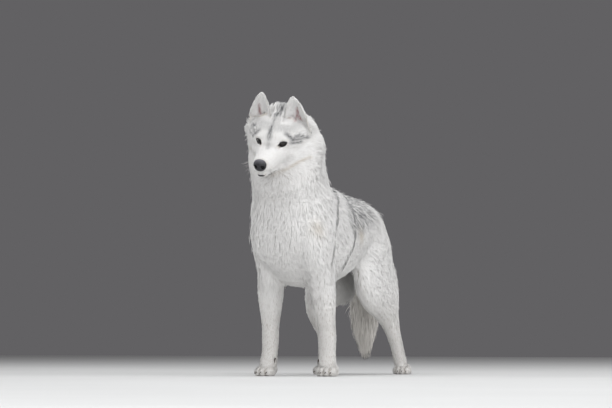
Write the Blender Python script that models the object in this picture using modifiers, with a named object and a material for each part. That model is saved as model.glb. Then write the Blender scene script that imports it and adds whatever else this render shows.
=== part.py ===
"""A life-size standing Siberian husky, built as a still model.

Metres, +Z up. The dog faces -Y, its left side is +X, and it stands on z = 0.
The tables give the outside of the coat. Each row is a station on a path:
x, y, z of the path, half width across it, then its reach to either side in the dog's own plane.
"""

import math
import random

import bmesh
import bpy
import numpy as np
from mathutils import Matrix, Vector
from mathutils.bvhtree import BVHTree

# Driving sizes, all in metres
GAP = 0.0003
CLEARANCE = 1.3 * GAP
FLOOR = 0.0
REACH = 1.2
WRIST_HEIGHT = 0.062
HOCK_HEIGHT = 0.215

# The head turns about the point between the eyes
EYE_MIDPOINT = Vector((0.001, -0.170, 0.698))
HEAD_PITCH = math.radians(24.0)
HEAD_ROLL = math.radians(9.0)
HEAD_YAW = math.radians(5.5)

EYE_RADIUS = 0.0115
EYE_AT = Vector((0.0325, 0.003, 0.000))
EYE_TURN = math.radians(28.0)
EYE_TILT = math.radians(17.0)
LID_THICKNESS = 0.0024
EYE_SIDES = 16
EYE_OPENING = (0.0245, 0.0125)
EYE_CORNER_PINCH = 0.35

EAR_AT = Vector((0.0530, 0.080, 0.044))
EAR_HEIGHT = 0.079
EAR_ROOT = 0.030
EAR_HALF_WIDTH = 0.036
EAR_WALL = 0.0075
EAR_CUP = 0.024
EAR_CURL = 1.35
EAR_FOLD = 1.45
EAR_TIP_FORWARD = 0.006
EAR_RIM_POINTS = 7
EAR_TURN = math.radians(10)
EAR_LEAN_IN = {1: math.radians(10), -1: math.radians(-3)}
EAR_LEAN_FORWARD = math.radians(5)

NOSE_AT = Vector((0.0, -0.0985, -0.0370))
NOSE_SIZE = Vector((0.0440, 0.026, 0.0355))
# The box that is rounded into the nose is larger than it, and narrower below
NOSE_BOX = 1.22
NOSE_NARROWING = (0.72, 0.90)
NOSE_THINNING = 0.24
# Each nostril is a round hole and a slit beside it: place from the nose's middle, then radii
NOSTRIL = ((0.0105, -0.0135, -0.0020), (0.0041, 0.0062, 0.0046))
NOSTRIL_SLIT = ((0.0172, -0.0085, -0.0045), (0.0062, 0.0034, 0.0019))
NOSTRIL_TILT = 0.35

# Torso, from the breast back to the rump: reach up, then reach down
TORSO = [
    (-0.003, -0.1430, 0.420, 0.010, 0.011, 0.010),
    (-0.003, -0.1390, 0.420, 0.037, 0.040, 0.036),
    (-0.003, -0.1280, 0.421, 0.070, 0.077, 0.067),
    (-0.004, -0.1050, 0.421, 0.098, 0.112, 0.096),
    (-0.004, -0.0680, 0.423, 0.119, 0.137, 0.124),
    (-0.004, -0.0250, 0.426, 0.132, 0.149, 0.147),
    (-0.003, 0.025, 0.428, 0.139, 0.158, 0.158),
    (0, 0.110, 0.428, 0.143, 0.153, 0.153),
    (0, 0.190, 0.433, 0.136, 0.138, 0.140),
    (0, 0.265, 0.440, 0.124, 0.121, 0.120),
    (0, 0.330, 0.443, 0.116, 0.109, 0.100),
    (0, 0.385, 0.446, 0.113, 0.097, 0.088),
    (0, 0.432, 0.442, 0.100, 0.080, 0.076),
    (0, 0.470, 0.432, 0.066, 0.058, 0.058),
]

# Neck, from between the shoulders up into the skull: reach forward, then back
NECK = [
    (-0.004, 0.010, 0.420, 0.112, 0.120, 0.120),
    (-0.005, -0.010, 0.490, 0.127, 0.134, 0.127),
    (-0.006, -0.030, 0.560, 0.122, 0.122, 0.116),
    (-0.008, -0.042, 0.625, 0.119, 0.108, 0.108),
    (-0.011, -0.050, 0.685, 0.118, 0.096, 0.098),
    (-0.016, -0.066, 0.735, 0.106, 0.078, 0.068),
]

# Front legs, from the shoulder down to the pastern: reach back, then forward
FORELEG = {
    "left": [
        (0.076, -0.030, 0.450, 0.050, 0.075, 0.088),
        (0.080, -0.016, 0.380, 0.052, 0.066, 0.098),
        (0.082, 0.003, 0.310, 0.043, 0.047, 0.070),
        (0.088, 0.004, 0.255, 0.0370, 0.036, 0.040),
        (0.092, 0.008, 0.195, 0.0308, 0.030, 0.032),
        (0.095, 0.016, 0.140, 0.0268, 0.026, 0.027),
        (0.096, 0.016, 0.108, 0.0270, 0.026, 0.027),
        (0.098, 0.012, 0.070, 0.0258, 0.025, 0.025),
        (0.101, 0.004, 0.034, 0.0285, 0.029, 0.030),
    ],
    "right": [
        (-0.080, -0.030, 0.450, 0.050, 0.075, 0.088),
        (-0.080, -0.022, 0.380, 0.040, 0.066, 0.085),
        (-0.083, -0.010, 0.310, 0.037, 0.048, 0.064),
        (-0.090, 0.000, 0.255, 0.0395, 0.037, 0.040),
        (-0.089, -0.002, 0.195, 0.0320, 0.031, 0.032),
        (-0.088, -0.004, 0.140, 0.0268, 0.026, 0.027),
        (-0.088, -0.005, 0.108, 0.0268, 0.026, 0.027),
        (-0.088, -0.009, 0.070, 0.0255, 0.025, 0.025),
        (-0.089, -0.017, 0.034, 0.0290, 0.029, 0.030),
    ],
}

# Hind legs: the left one is stretched back and the right one stands under the body
HINDLEG = {
    "left": [
        (0.056, 0.385, 0.460, 0.052, 0.070, 0.100),
        (0.074, 0.385, 0.400, 0.049, 0.096, 0.122),
        (0.083, 0.375, 0.335, 0.0460, 0.120, 0.130),
        (0.087, 0.392, 0.270, 0.0400, 0.128, 0.110),
        (0.091, 0.430, 0.212, 0.0330, 0.094, 0.062),
        (0.094, 0.464, 0.165, 0.0270, 0.042, 0.035),
        (0.099, 0.478, 0.130, 0.0230, 0.028, 0.027),
        (0.105, 0.497, 0.080, 0.0213, 0.023, 0.022),
        (0.109, 0.511, 0.036, 0.0228, 0.025, 0.025),
    ],
    "right": [
        (-0.056, 0.385, 0.460, 0.052, 0.070, 0.100),
        (-0.074, 0.360, 0.400, 0.050, 0.112, 0.116),
        (-0.079, 0.342, 0.335, 0.0500, 0.135, 0.112),
        (-0.077, 0.335, 0.270, 0.0470, 0.141, 0.080),
        (-0.084, 0.332, 0.212, 0.0360, 0.086, 0.074),
        (-0.087, 0.348, 0.165, 0.0275, 0.038, 0.046),
        (-0.087, 0.364, 0.130, 0.0245, 0.029, 0.027),
        (-0.087, 0.368, 0.080, 0.0230, 0.024, 0.024),
        (-0.087, 0.368, 0.036, 0.0250, 0.027, 0.027),
    ],
}

# Tail, from the croup down to the tip: reach back, then forward
TAIL = [
    (0.000, 0.430, 0.486, 0.032, 0.034, 0.034),
    (-0.004, 0.484, 0.456, 0.038, 0.040, 0.034),
    (-0.010, 0.526, 0.400, 0.045, 0.045, 0.032),
    (-0.019, 0.544, 0.330, 0.051, 0.048, 0.034),
    (-0.028, 0.547, 0.255, 0.053, 0.048, 0.036),
    (-0.032, 0.543, 0.180, 0.047, 0.042, 0.034),
    (-0.028, 0.536, 0.115, 0.030, 0.026, 0.024),
    (-0.024, 0.530, 0.060, 0.010, 0.009, 0.009),
]

# Paws: centre of the pads, then each toe's place across and forward of it
PAW_AT = {
    "forepaw_left": Vector((0.109, -0.004, 0)),
    "forepaw_right": Vector((-0.089, -0.026, 0)),
    "hindpaw_left": Vector((0.116, 0.513, 0)),
    "hindpaw_right": Vector((-0.088, 0.358, 0)),
}
PAW_TURN = {
    "forepaw_left": math.radians(4),
    "forepaw_right": math.radians(-6),
    "hindpaw_left": math.radians(10),
    "hindpaw_right": math.radians(-6),
}
PAW_SIZE = {"forepaw": 1.0, "hindpaw": 0.88}
TOES = [(-0.0215, -0.013), (-0.0080, -0.026), (0.0080, -0.026), (0.0215, -0.013)]
TOE_RADII = (0.0115, 0.0200, 0.0150)
TOE_HEIGHT = 0.0125
TOE_FAN = -8.0
PAW_FORM = ((0, 0.004, 0.020), (0.0285, 0.032, 0.021))
CLAW_ROOT = Vector((0, -0.0145, 0.0130))
CLAW_LENGTH = 0.0130
CLAW_RADIUS = 0.0036
CLAW_DROP = 0.0055

# The head in its own frame, level and facing -Y, with the eyes at the origin.
# Muzzle, from behind the nose back into the skull: reach up, then reach down
MUZZLE = [
    (0, -0.0900, -0.0420, 0.0215, 0.0180, 0.0190),
    (0, -0.0760, -0.0420, 0.0290, 0.0225, 0.0255),
    (0, -0.0540, -0.0405, 0.0335, 0.0255, 0.0290),
    (0, -0.0280, -0.0375, 0.0385, 0.0300, 0.0335),
    (0, -0.0050, -0.0340, 0.0480, 0.0345, 0.0390),
    (0, 0.0250, -0.0300, 0.0660, 0.0430, 0.0480),
    (0, 0.0600, -0.0300, 0.0840, 0.0500, 0.0540),
    (0, 0.0950, -0.0300, 0.0960, 0.0550, 0.0620),
]
LOWER_JAW = [
    (0, -0.0740, -0.0640, 0.0175, 0.0100, 0.0085),
    (0, -0.0560, -0.0660, 0.0225, 0.0130, 0.0110),
    (0, -0.0250, -0.0670, 0.0290, 0.0160, 0.0135),
    (0, 0.0150, -0.0680, 0.0420, 0.0210, 0.0210),
    (0, 0.0550, -0.0680, 0.0560, 0.0260, 0.0290),
]
CRANIUM = [
    (0, -0.0130, -0.0080, 0.0320, 0.0180, 0.0300),
    (0, 0.0060, -0.0060, 0.0580, 0.0360, 0.0450),
    (0, 0.0350, -0.0060, 0.0850, 0.0580, 0.0600),
    (0, 0.0700, -0.0060, 0.1010, 0.0740, 0.0740),
    (0, 0.1050, -0.0060, 0.1080, 0.0750, 0.0800),
    (0, 0.1350, -0.0080, 0.1020, 0.0600, 0.0780),
]
# Swellings of the face: centre, then radii
FACE_FORMS = [
    ((0.0330, 0.0080, 0.0100), (0.0210, 0.0170, 0.0110)),
    ((0.0430, 0.0560, -0.0350), (0.0350, 0.0620, 0.0350)),
    ((0.0600, 0.0920, -0.0400), (0.0440, 0.0560, 0.0520)),
    ((0.0200, -0.0540, -0.0480), (0.0150, 0.0320, 0.0180)),
]
MOUTH = [(0.0, -0.100, -0.0605), (0.014, -0.094, -0.0610), (0.0245, -0.072, -0.0600),
         (0.0290, -0.045, -0.0590), (0.0340, -0.018, -0.0600), (0.0400, 0.004, -0.0540)]
MOUTH_CUT = (0.0080, 0.0013)
MOUTH_REACH = 0.012

# Planes that part the head from the neck and the neck from the torso: a point, then the upper side
HEAD_PLANE = (Vector((-0.012, -0.080, 0.705)), Vector((0.12, -0.87, 0.48)).normalized())
NECK_PLANE = (Vector((0.0, -0.030, 0.540)), Vector((0, -0.36, 0.93)).normalized())

# Blocks that take the legs out of the body, and the tilt of the one for the thighs
FORELEG_BLOCK = {"inner": 0.050, "outer": 0.25, "front": 0.2, "back": 0.085,
                 "below": 0.2, "top": 0.330}
THIGH_BLOCK = {"inner": 0.024, "outer": 0.25, "front": 0.2, "back": 0.6, "below": 0.6}
THIGH_CUT_AT = Vector((0, 0.27, 0.335))
THIGH_CUT_TILT = math.radians(31)
HOCK_PLANE = (Vector((0, 0, HOCK_HEIGHT)), Vector((0, 0, -1)))

# The long coat stands on a core that lies this far inside the coat's outside
RUFF_DEPTH = 0.019
CHEST_DEPTH = 0.015
BELLY_DEPTH = 0.012
BRUSH_SHARE = 0.60
LOCK_THICKNESS = 0.0085
LOCK_SINK = 0.009
LOCK_REACH = 0.022
# A lock's stations: place along it, rise as a share of its height (None: the sunk root), share of width
LOCK_STATIONS = ((0.0, None, 0.78), (0.36, 0.50, 1.0), (0.72, 0.88, 0.60), (1.0, 1.0, 0.0))
# Rows of locks: their places or heights, how many stand in a row, and the range of their sizes
RUFF_ROWS = (0.0, 0.26, 0.52, 0.78)
RUFF_LOCKS = 12
RUFF_LOCK = {"length": (0.080, 0.096), "width": (0.040, 0.050), "curl": 0.016,
             "shorter in front": 0.010, "least rise": 0.010}
RUFF_OVERHANG = (0.040, 0.016)
RUFF_BELOW_JAW = 0.013
RUFF_BOTTOM = Vector((-0.006, -0.030, 0.545))
CHEST_ROWS = (0.466, 0.418, 0.370)
CHEST_LOCKS = 6
CHEST_LOCK = {"length": (0.070, 0.084), "width": (0.038, 0.046), "curl": 0.014}
CHEST_STEP = math.radians(25)
CHEST_MIDDLE = Vector((-0.004, 0.0, 0.0))
BELLY_LOCKS = 5
BELLY_LOCK = {"length": (0.060, 0.075), "width": (0.034, 0.042), "curl": 0.008}
BELLY_START = Vector((0.0, 0.048, 0.42))
BELLY_STEP = 0.054
BREECH_ROWS = (0.425, 0.375, 0.325)
BREECH_LOCK = {"length": (0.058, 0.070), "width": (0.030, 0.036), "rise": (0.009, 0.011),
               "curl": 0.006}
BRUSH_ROWS = (0.400, 0.340, 0.280, 0.220, 0.160)
BRUSH_LOCKS = 6
BRUSH_LOCK = {"length": (0.085, 0.102), "width": (0.034, 0.040), "curl": 0.010}
BRUSH_TIP_LOCK = {"width": 0.030, "rise": 0.002, "spread": 0.006, "past the end": 0.010}
RISE_RANGE = (0.85, 1.0)
SEED = 11

# How each form is merged and thinned: voxel, smoothing rounds, what that took off, triangles
SKINS = {
    "body": {"voxel": 0.0055, "rounds": 11, "swell": 0.0013, "triangles": 2800},
    "head": {"voxel": 0.0028, "rounds": 16, "swell": 0.0008, "triangles": 2200},
    "forepaw": {"voxel": 0.0030, "rounds": 3, "swell": 0.0006, "triangles": 300},
    "hindpaw": {"voxel": 0.0030, "rounds": 3, "swell": 0.0006, "triangles": 300},
    "tail": {"voxel": 0.0050, "rounds": 3, "swell": 0.0, "triangles": 260},
}

COATS = {
    "white coat": ((0.80, 0.80, 0.79), 0.8),
    "ear coat": ((0.82, 0.80, 0.79), 0.8),
    "nose leather": ((0.035, 0.034, 0.037), 0.45),
    "eye": ((0.05, 0.035, 0.028), 0.1),
    "claw horn": ((0.09, 0.08, 0.075), 0.4),
}


def clear_scene():
    for obj in list(bpy.data.objects):
        bpy.data.objects.remove(obj, do_unlink=True)


def collection(name):
    made = bpy.data.collections.new(name)
    bpy.context.scene.collection.children.link(made)
    return made


def cutters():
    return bpy.data.collections["cutters"]


def material(name):
    colour, roughness = COATS[name]
    made = bpy.data.materials.get(name) or bpy.data.materials.new(name)
    made.use_nodes = True
    shader = made.node_tree.nodes["Principled BSDF"]
    shader.inputs["Base Color"].default_value = (*colour, 1)
    shader.inputs["Roughness"].default_value = roughness
    return made


def smooth_rows(rows, steps):
    """Rows on a Catmull-Rom curve through the given ones."""
    rows = np.array(rows, float)
    padded = np.vstack([2 * rows[0] - rows[1], rows, 2 * rows[-1] - rows[-2]])
    out = []
    for k in range(len(rows) - 1):
        a, b, c, d = padded[k:k + 4]
        for t in np.arange(steps) / steps:
            out.append(0.5 * (2 * b + (c - a) * t + (2 * a - 5 * b + 4 * c - d) * t ** 2
                              + (3 * b - a - 3 * c + d) * t ** 3))
    out.append(rows[-1])
    return np.array(out)


def add_loft(bm, rows, sides=28, steps=5, square=0.92):
    """Adds a closed body through the stations, with a dome on each end."""
    rows = smooth_rows(rows, steps)
    tangents = np.gradient(rows[:, :3], axis=0)
    rings = []
    dome = [(0.62, 0.0), (0.50, 0.55), (0.30, 0.83)]
    ends = [(rows[0], -tangents[0]), (rows[-1], tangents[-1])]
    stations = [(row, tangent, 0.0, 1.0) for row, tangent in zip(rows, tangents)]
    first, last = ends[0][0], ends[1][0]
    before = [(first, tangents[0], -out * min(first[3:6]), size) for out, size in dome]
    after = [(last, tangents[-1], out * min(last[3:6]), size) for out, size in dome[::-1]]
    for row, tangent, shift, size in before[1:] + stations + after[:-1]:
        along = Vector(tangent).normalized()
        across = (Vector((1, 0, 0)) - along * along.x).normalized()
        depth = across.cross(along)
        centre = Vector(row[:3]) + along * shift
        ring = []
        for k in range(sides):
            angle = 2 * math.pi * k / sides
            c, s = math.cos(angle), math.sin(angle)
            reach = row[4] if s > 0 else row[5]
            ring.append(bm.verts.new(
                centre + across * (size * row[3] * math.copysign(abs(c) ** square, c))
                + depth * (size * reach * math.copysign(abs(s) ** square, s))))
        rings.append(ring)
    for lower, upper in zip(rings, rings[1:]):
        for k in range(sides):
            bm.faces.new((lower[k], lower[(k + 1) % sides], upper[(k + 1) % sides], upper[k]))
    for ring, out in ((rings[0], False), (rings[-1], True)):
        bm.faces.new(ring if out else ring[::-1])


def add_ellipsoid(bm, centre, radii, matrix=None):
    place = Matrix.Translation(centre) @ (matrix or Matrix()) @ Matrix.Diagonal((*radii, 1))
    bmesh.ops.create_uvsphere(bm, u_segments=24, v_segments=14, radius=1, matrix=place)


def object_from(bm, name, home):
    """An object from the bmesh, with its faces turned outwards."""
    bmesh.ops.recalc_face_normals(bm, faces=bm.faces)
    mesh = bpy.data.meshes.new(name)
    bm.to_mesh(mesh)
    bm.free()
    obj = bpy.data.objects.new(name, mesh)
    home.objects.link(obj)
    return obj


def set_modifier(obj, kind, **settings):
    modifier = obj.modifiers.new(kind.lower(), kind)
    for key, value in settings.items():
        setattr(modifier, key, value)
    return modifier


def applied(obj):
    """Bakes the object's modifiers and its place into its mesh."""
    bpy.context.view_layer.update()
    graph = bpy.context.evaluated_depsgraph_get()
    mesh = bpy.data.meshes.new_from_object(obj.evaluated_get(graph))
    mesh.transform(obj.matrix_world)
    obj.modifiers.clear()
    obj.parent = None
    obj.matrix_world = Matrix()
    obj.data = mesh
    return obj


def ramp(value, start, end):
    """Rises smoothly from 0 at the start to 1 at the end."""
    t = np.clip((value - start) / (end - start), 0, 1)
    return t * t * (3 - 2 * t)


def height_over(points, plane):
    """How far the points lie on the upper side of the plane."""
    point, normal = plane
    return (points - np.array(point)) @ np.array(normal)


def coat_depth(points):
    """How far the core lies inside the coat's outside: most in the ruff, none on the short coat."""
    x, y, z = points.T
    ruff = RUFF_DEPTH * (ramp(-height_over(points, HEAD_PLANE), -0.005, 0.060)
                         * ramp(height_over(points, NECK_PLANE), -0.060, 0.015))
    chest = CHEST_DEPTH * ramp(-y, 0.0, 0.06) * ramp(z, 0.30, 0.34) * ramp(-z, -0.56, -0.47)
    belly = BELLY_DEPTH * (ramp(-z, -0.36, -0.31) * ramp(-abs(x), -0.080, -0.045)
                           * ramp(y, -0.09, -0.04) * ramp(-y, -0.37, -0.30))
    return np.maximum.reduce([ruff, chest, belly])


def soften(obj, depth=None):
    """Merges the overlapping forms into one skin, blends their joins and thins it out."""
    settings = SKINS[obj.name.split("_")[0]]
    set_modifier(obj, "REMESH", mode="VOXEL", voxel_size=settings["voxel"])
    set_modifier(obj, "SMOOTH", factor=0.5, iterations=settings["rounds"])
    mesh = applied(obj).data
    points = np.array([v.co for v in mesh.vertices])
    normals = np.array([v.normal for v in mesh.vertices])
    shift = settings["swell"] - (depth(points) if depth else 0)
    mesh.vertices.foreach_set("co", (points + normals * np.reshape(shift, (-1, 1))).ravel())
    count = sum(len(face.vertices) - 2 for face in mesh.polygons)
    set_modifier(obj, "DECIMATE", ratio=settings["triangles"] / count,
                 use_collapse_triangulate=True)
    return applied(obj)


def twin(obj, name, home):
    copy = bpy.data.objects.new(name, obj.data.copy())
    copy.matrix_world = obj.matrix_world
    home.objects.link(copy)
    return copy


def boolean(obj, other, operation):
    """Applies one Boolean, and drops the other object."""
    set_modifier(obj, "BOOLEAN", operation=operation, solver="EXACT", object=other)
    applied(obj)
    bpy.data.objects.remove(other, do_unlink=True)
    return obj


def block(low, high, matrix=None):
    """A box to cut with, between two corners and turned by the matrix."""
    low, high = Vector(low), Vector(high)
    place = (matrix or Matrix()) @ Matrix.Translation((low + high) / 2)
    bm = bmesh.new()
    bmesh.ops.create_cube(bm, size=1, matrix=place @ Matrix.Diagonal((*(high - low), 1)))
    return object_from(bm, "cutting_block", cutters())


def largest_body(obj):
    """Keeps only the largest closed surface of the object."""
    bm = bmesh.new()
    bm.from_mesh(obj.data)
    bm.faces.ensure_lookup_table()
    unseen, islands = set(range(len(bm.faces))), []
    while unseen:
        stack, island = [unseen.pop()], []
        while stack:
            face = bm.faces[stack.pop()]
            island.append(face)
            for edge in face.edges:
                for near in edge.link_faces:
                    if near.index in unseen:
                        unseen.remove(near.index)
                        stack.append(near.index)
        islands.append(island)
    islands.sort(key=len)
    drop = [face for island in islands[:-1] for face in island]
    bmesh.ops.delete(bm, geom=drop, context="FACES")
    bm.to_mesh(obj.data)
    bm.free()
    return obj


def finish_node(obj, coat):
    obj.data.materials.clear()
    obj.data.materials.append(material(coat))
    obj.data.shade_smooth()
    obj.data.set_sharp_from_angle(angle=math.radians(50))
    return obj


def head_matrix():
    turn = (Matrix.Rotation(HEAD_YAW, 4, "Z") @ Matrix.Rotation(HEAD_PITCH, 4, "X")
            @ Matrix.Rotation(HEAD_ROLL, 4, "Y"))
    return Matrix.Translation(EYE_MIDPOINT) @ turn


def add_skull(bm):
    """The skull's forms, level and in its own frame."""
    add_loft(bm, MUZZLE, square=0.85)
    add_loft(bm, LOWER_JAW)
    add_loft(bm, CRANIUM, square=0.84)
    for centre, radii in FACE_FORMS:
        for side in (1, -1):
            add_ellipsoid(bm, (side * centre[0], centre[1], centre[2]), radii)


def body_form(home):
    """Torso, neck and legs as one soft form."""
    bm = bmesh.new()
    add_skull(bm)
    bm.transform(head_matrix())
    add_loft(bm, TORSO)
    add_loft(bm, NECK)
    for side in ("left", "right"):
        add_loft(bm, FORELEG[side], sides=20)
        add_loft(bm, HINDLEG[side], sides=20)
    return soften(object_from(bm, "body", home), coat_depth)


def head_form(home):
    """The head with the top of the neck, finer than the body."""
    bm = bmesh.new()
    add_skull(bm)
    bm.transform(head_matrix())
    add_loft(bm, NECK[2:])
    return soften(object_from(bm, "head", home))


def paw_matrix(name):
    return (Matrix.Translation(PAW_AT[name]) @ Matrix.Rotation(PAW_TURN[name], 4, "Z")
            @ Matrix.Scale(PAW_SIZE[name.split("_")[0]], 4))


def paw_form(name, leg_rows, home):
    """One paw with four toes and the pastern above it, flat where it stands."""
    bm = bmesh.new()
    place = paw_matrix(name)
    add_ellipsoid(bm, *PAW_FORM)
    for x, y in TOES:
        add_ellipsoid(bm, (x, y, TOE_HEIGHT), TOE_RADII, Matrix.Rotation(TOE_FAN * x, 4, "Z"))
    bm.transform(place)
    add_loft(bm, leg_rows[-4:], sides=20)
    return soften(object_from(bm, name, home))


def claw(name, place, home):
    """A short curved horn, set with its root inside the toe."""
    bm = bmesh.new()
    rings = []
    for t in (-0.3, 0.2, 0.7):
        size = CLAW_RADIUS * (1 - 0.75 * max(t, 0))
        centre = Vector((0, -CLAW_LENGTH * t, -CLAW_DROP * t * t))
        turns = [2 * math.pi * k / 6 for k in range(6)]
        rings.append([bm.verts.new(centre + Vector((0.75 * size * math.cos(a), 0, size * math.sin(a))))
                      for a in turns])
    for low, high in zip(rings, rings[1:]):
        for k in range(6):
            bm.faces.new((low[k], low[(k + 1) % 6], high[(k + 1) % 6], high[k]))
    tip = bm.verts.new((0, -CLAW_LENGTH, -CLAW_DROP))
    for k in range(6):
        bm.faces.new((rings[-1][k], rings[-1][(k + 1) % 6], tip))
    bm.faces.new(rings[0])
    bm.transform(place)
    return object_from(bm, name, home)


def half_space(point, normal):
    """A large box on the side of the plane that the normal points to."""
    turn = Vector(normal).to_track_quat("Z", "Y").to_matrix().to_4x4()
    place = Matrix.Translation(point) @ turn
    return block((-REACH, -REACH, 0), (REACH, REACH, REACH), place)


def cut_pair(obj, plane, home, upper_name):
    """Cuts the object in two at the plane, with the gap between. The part on the normal's side is new."""
    point, normal = plane
    upper = twin(obj, upper_name, home)
    boolean(upper, half_space(point + normal * GAP / 2, normal), "INTERSECT")
    boolean(obj, half_space(point - normal * GAP / 2, -normal), "INTERSECT")
    return upper


def cut_block(obj, low, high, home, name, matrix=None):
    """Takes the part inside the box out of the object as a node of its own."""
    taken = twin(obj, name, home)
    grown = Vector((GAP, GAP, GAP))
    boolean(taken, block(low, high, matrix), "INTERSECT")
    boolean(obj, block(Vector(low) - grown, Vector(high) + grown, matrix), "DIFFERENCE")
    return largest_body(taken)


def inflated(obj):
    """A copy that stands proud of the object by the gap, to cut its neighbours with."""
    copy = twin(obj, "clearance", cutters())
    set_modifier(copy, "DISPLACE", strength=CLEARANCE, mid_level=0.0)
    return applied(copy)


def eye_matrix(side):
    place = Vector((side * EYE_AT.x, EYE_AT.y, EYE_AT.z))
    return (head_matrix() @ Matrix.Translation(place)
            @ Matrix.Rotation(side * EYE_TURN, 4, "Z") @ Matrix.Rotation(-side * EYE_TILT, 4, "Y"))


def ball(name, radius, matrix, home):
    bm = bmesh.new()
    bmesh.ops.create_uvsphere(bm, u_segments=EYE_SIDES, v_segments=EYE_SIDES // 2 + 2,
                              radius=radius, matrix=matrix)
    return object_from(bm, name, home)


def almond(matrix):
    """The opening between the lids: two arcs that meet at the corners, run forward."""
    width, height = EYE_OPENING
    half, rise = width / 2, height / 2
    points = []
    for k in range(12):
        angle = 2 * math.pi * k / 12
        x = half * math.cos(angle)
        z = rise * math.sin(angle) * (1 - EYE_CORNER_PINCH * (x / half) ** 2)
        points.append((x, z))
    bm = bmesh.new()
    back = [bm.verts.new((x, -0.002, z)) for x, z in points]
    front = [bm.verts.new((1.15 * x, -0.040, 1.25 * z)) for x, z in points]
    bm.faces.new(back)
    bm.faces.new(front[::-1])
    for k in range(12):
        bm.faces.new((back[k], front[k], front[(k + 1) % 12], back[(k + 1) % 12]))
    bm.transform(matrix)
    return object_from(bm, "opening", cutters())


def mouth_cutter():
    """A thin band that follows the line of the lips round the muzzle."""
    line = smooth_rows(MOUTH, 3)
    whole = [(-x, y, z) for x, y, z in line[:0:-1]] + [tuple(p) for p in line]
    bm = bmesh.new()
    inner, outer = [], []
    for k, point in enumerate(whole):
        here = Vector(point)
        ahead = Vector(whole[min(k + 1, len(whole) - 1)]) - Vector(whole[max(k - 1, 0)])
        out = ahead.cross(Vector((0, 0, 1))).normalized()
        inner.append(bm.verts.new(here - out * MOUTH_CUT[0]))
        outer.append(bm.verts.new(here + out * MOUTH_REACH))
    for k in range(len(whole) - 1):
        bm.faces.new((inner[k], outer[k], outer[k + 1], inner[k + 1]))
    bm.transform(head_matrix())
    cutter = object_from(bm, "mouth_cut", cutters())
    set_modifier(cutter, "SOLIDIFY", thickness=MOUTH_CUT[1], offset=0.0)
    return applied(cutter)


def nose_leather(home):
    """The nose pad, with a nostril cut into each side."""
    bm = bmesh.new()
    bmesh.ops.create_cube(bm, size=1)
    for vert in bm.verts:
        if vert.co.z < 0:
            vert.co.x *= NOSE_NARROWING[0]
            vert.co.y *= NOSE_NARROWING[1]
    place = head_matrix() @ Matrix.Translation(NOSE_AT)
    place = place @ Matrix.Diagonal((*(NOSE_SIZE * NOSE_BOX), 1))
    bm.transform(place)
    nose = object_from(bm, "nose", home)
    set_modifier(nose, "SUBSURF", levels=3, render_levels=3)
    applied(nose)
    for side in (1, -1):
        for (centre, radii), tilt in ((NOSTRIL, 0), (NOSTRIL_SLIT, NOSTRIL_TILT)):
            bm = bmesh.new()
            place = NOSE_AT + Vector(centre)
            place.x *= side
            add_ellipsoid(bm, place, radii, Matrix.Rotation(side * tilt, 4, "Y"))
            bm.transform(head_matrix())
            boolean(nose, object_from(bm, "nostril", cutters()), "DIFFERENCE")
    set_modifier(nose, "DECIMATE", ratio=NOSE_THINNING, use_collapse_triangulate=True)
    return applied(nose)


def ear(side, home):
    """A cupped, pointed ear: a front and a back that meet at a thin rim."""
    across, up = EAR_RIM_POINTS - 1, EAR_RIM_POINTS
    heights = np.array([-EAR_ROOT / EAR_HEIGHT, *np.linspace(0, 0.97, up)])
    places = np.linspace(-1, 1, across + 1)
    v, s = np.meshgrid(heights, places, indexing="ij")
    above = np.clip(v, 0, 1)
    half = EAR_HALF_WIDTH * (1 - above ** 1.6) ** 0.68
    cup = EAR_CUP * (1 - above) ** 0.9 + 0.003
    sheet = np.stack([half * np.sin(s * EAR_CURL) / math.sin(EAR_CURL),
                      -cup * (1 - np.cos(s * EAR_FOLD)) + EAR_TIP_FORWARD * above ** 2,
                      EAR_HEIGHT * v], axis=-1)
    out = np.cross(np.gradient(sheet, axis=1), np.gradient(sheet, axis=0))
    out /= np.linalg.norm(out, axis=-1, keepdims=True)
    wall = (EAR_WALL / 2 * (1 - np.abs(s) ** 3) * (1 - 0.55 * above))[..., None]
    bm = bmesh.new()
    rim = {}

    def corner(j, k, way):
        if k in (0, across):
            way = 0
        if (j, k, way) not in rim:
            rim[j, k, way] = bm.verts.new(sheet[j, k] + way * wall[j, k] * out[j, k])
        return rim[j, k, way]

    tip = bm.verts.new((0, EAR_TIP_FORWARD, EAR_HEIGHT))
    for k in range(across):
        for way in (1, -1):
            for j in range(up):
                bm.faces.new((corner(j, k, way), corner(j, k + 1, way),
                              corner(j + 1, k + 1, way), corner(j + 1, k, way)))
            bm.faces.new((corner(up, k, way), corner(up, k + 1, way), tip))
        foot = [corner(0, k, 1), corner(0, k + 1, 1), corner(0, k + 1, -1), corner(0, k, -1)]
        bm.faces.new(dict.fromkeys(foot))
    place = (head_matrix() @ Matrix.Translation((side * EAR_AT.x, EAR_AT.y, EAR_AT.z))
             @ Matrix.Rotation(side * EAR_TURN, 4, "Z")
             @ Matrix.Rotation(-side * EAR_LEAN_IN[side], 4, "Y")
             @ Matrix.Rotation(EAR_LEAN_FORWARD, 4, "X"))
    bm.transform(place)
    return object_from(bm, "ear_left" if side > 0 else "ear_right", home)


def make_head(form):
    """Lids, mouth and the seat of the nose, cut into the head."""
    for side in (1, -1):
        turn = eye_matrix(side)
        boolean(form, ball("lids", EYE_RADIUS + LID_THICKNESS, turn, cutters()), "UNION")
        boolean(form, ball("socket", EYE_RADIUS + GAP, turn, cutters()), "DIFFERENCE")
        boolean(form, almond(turn), "DIFFERENCE")
    boolean(form, mouth_cutter(), "DIFFERENCE")
    return form


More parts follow.
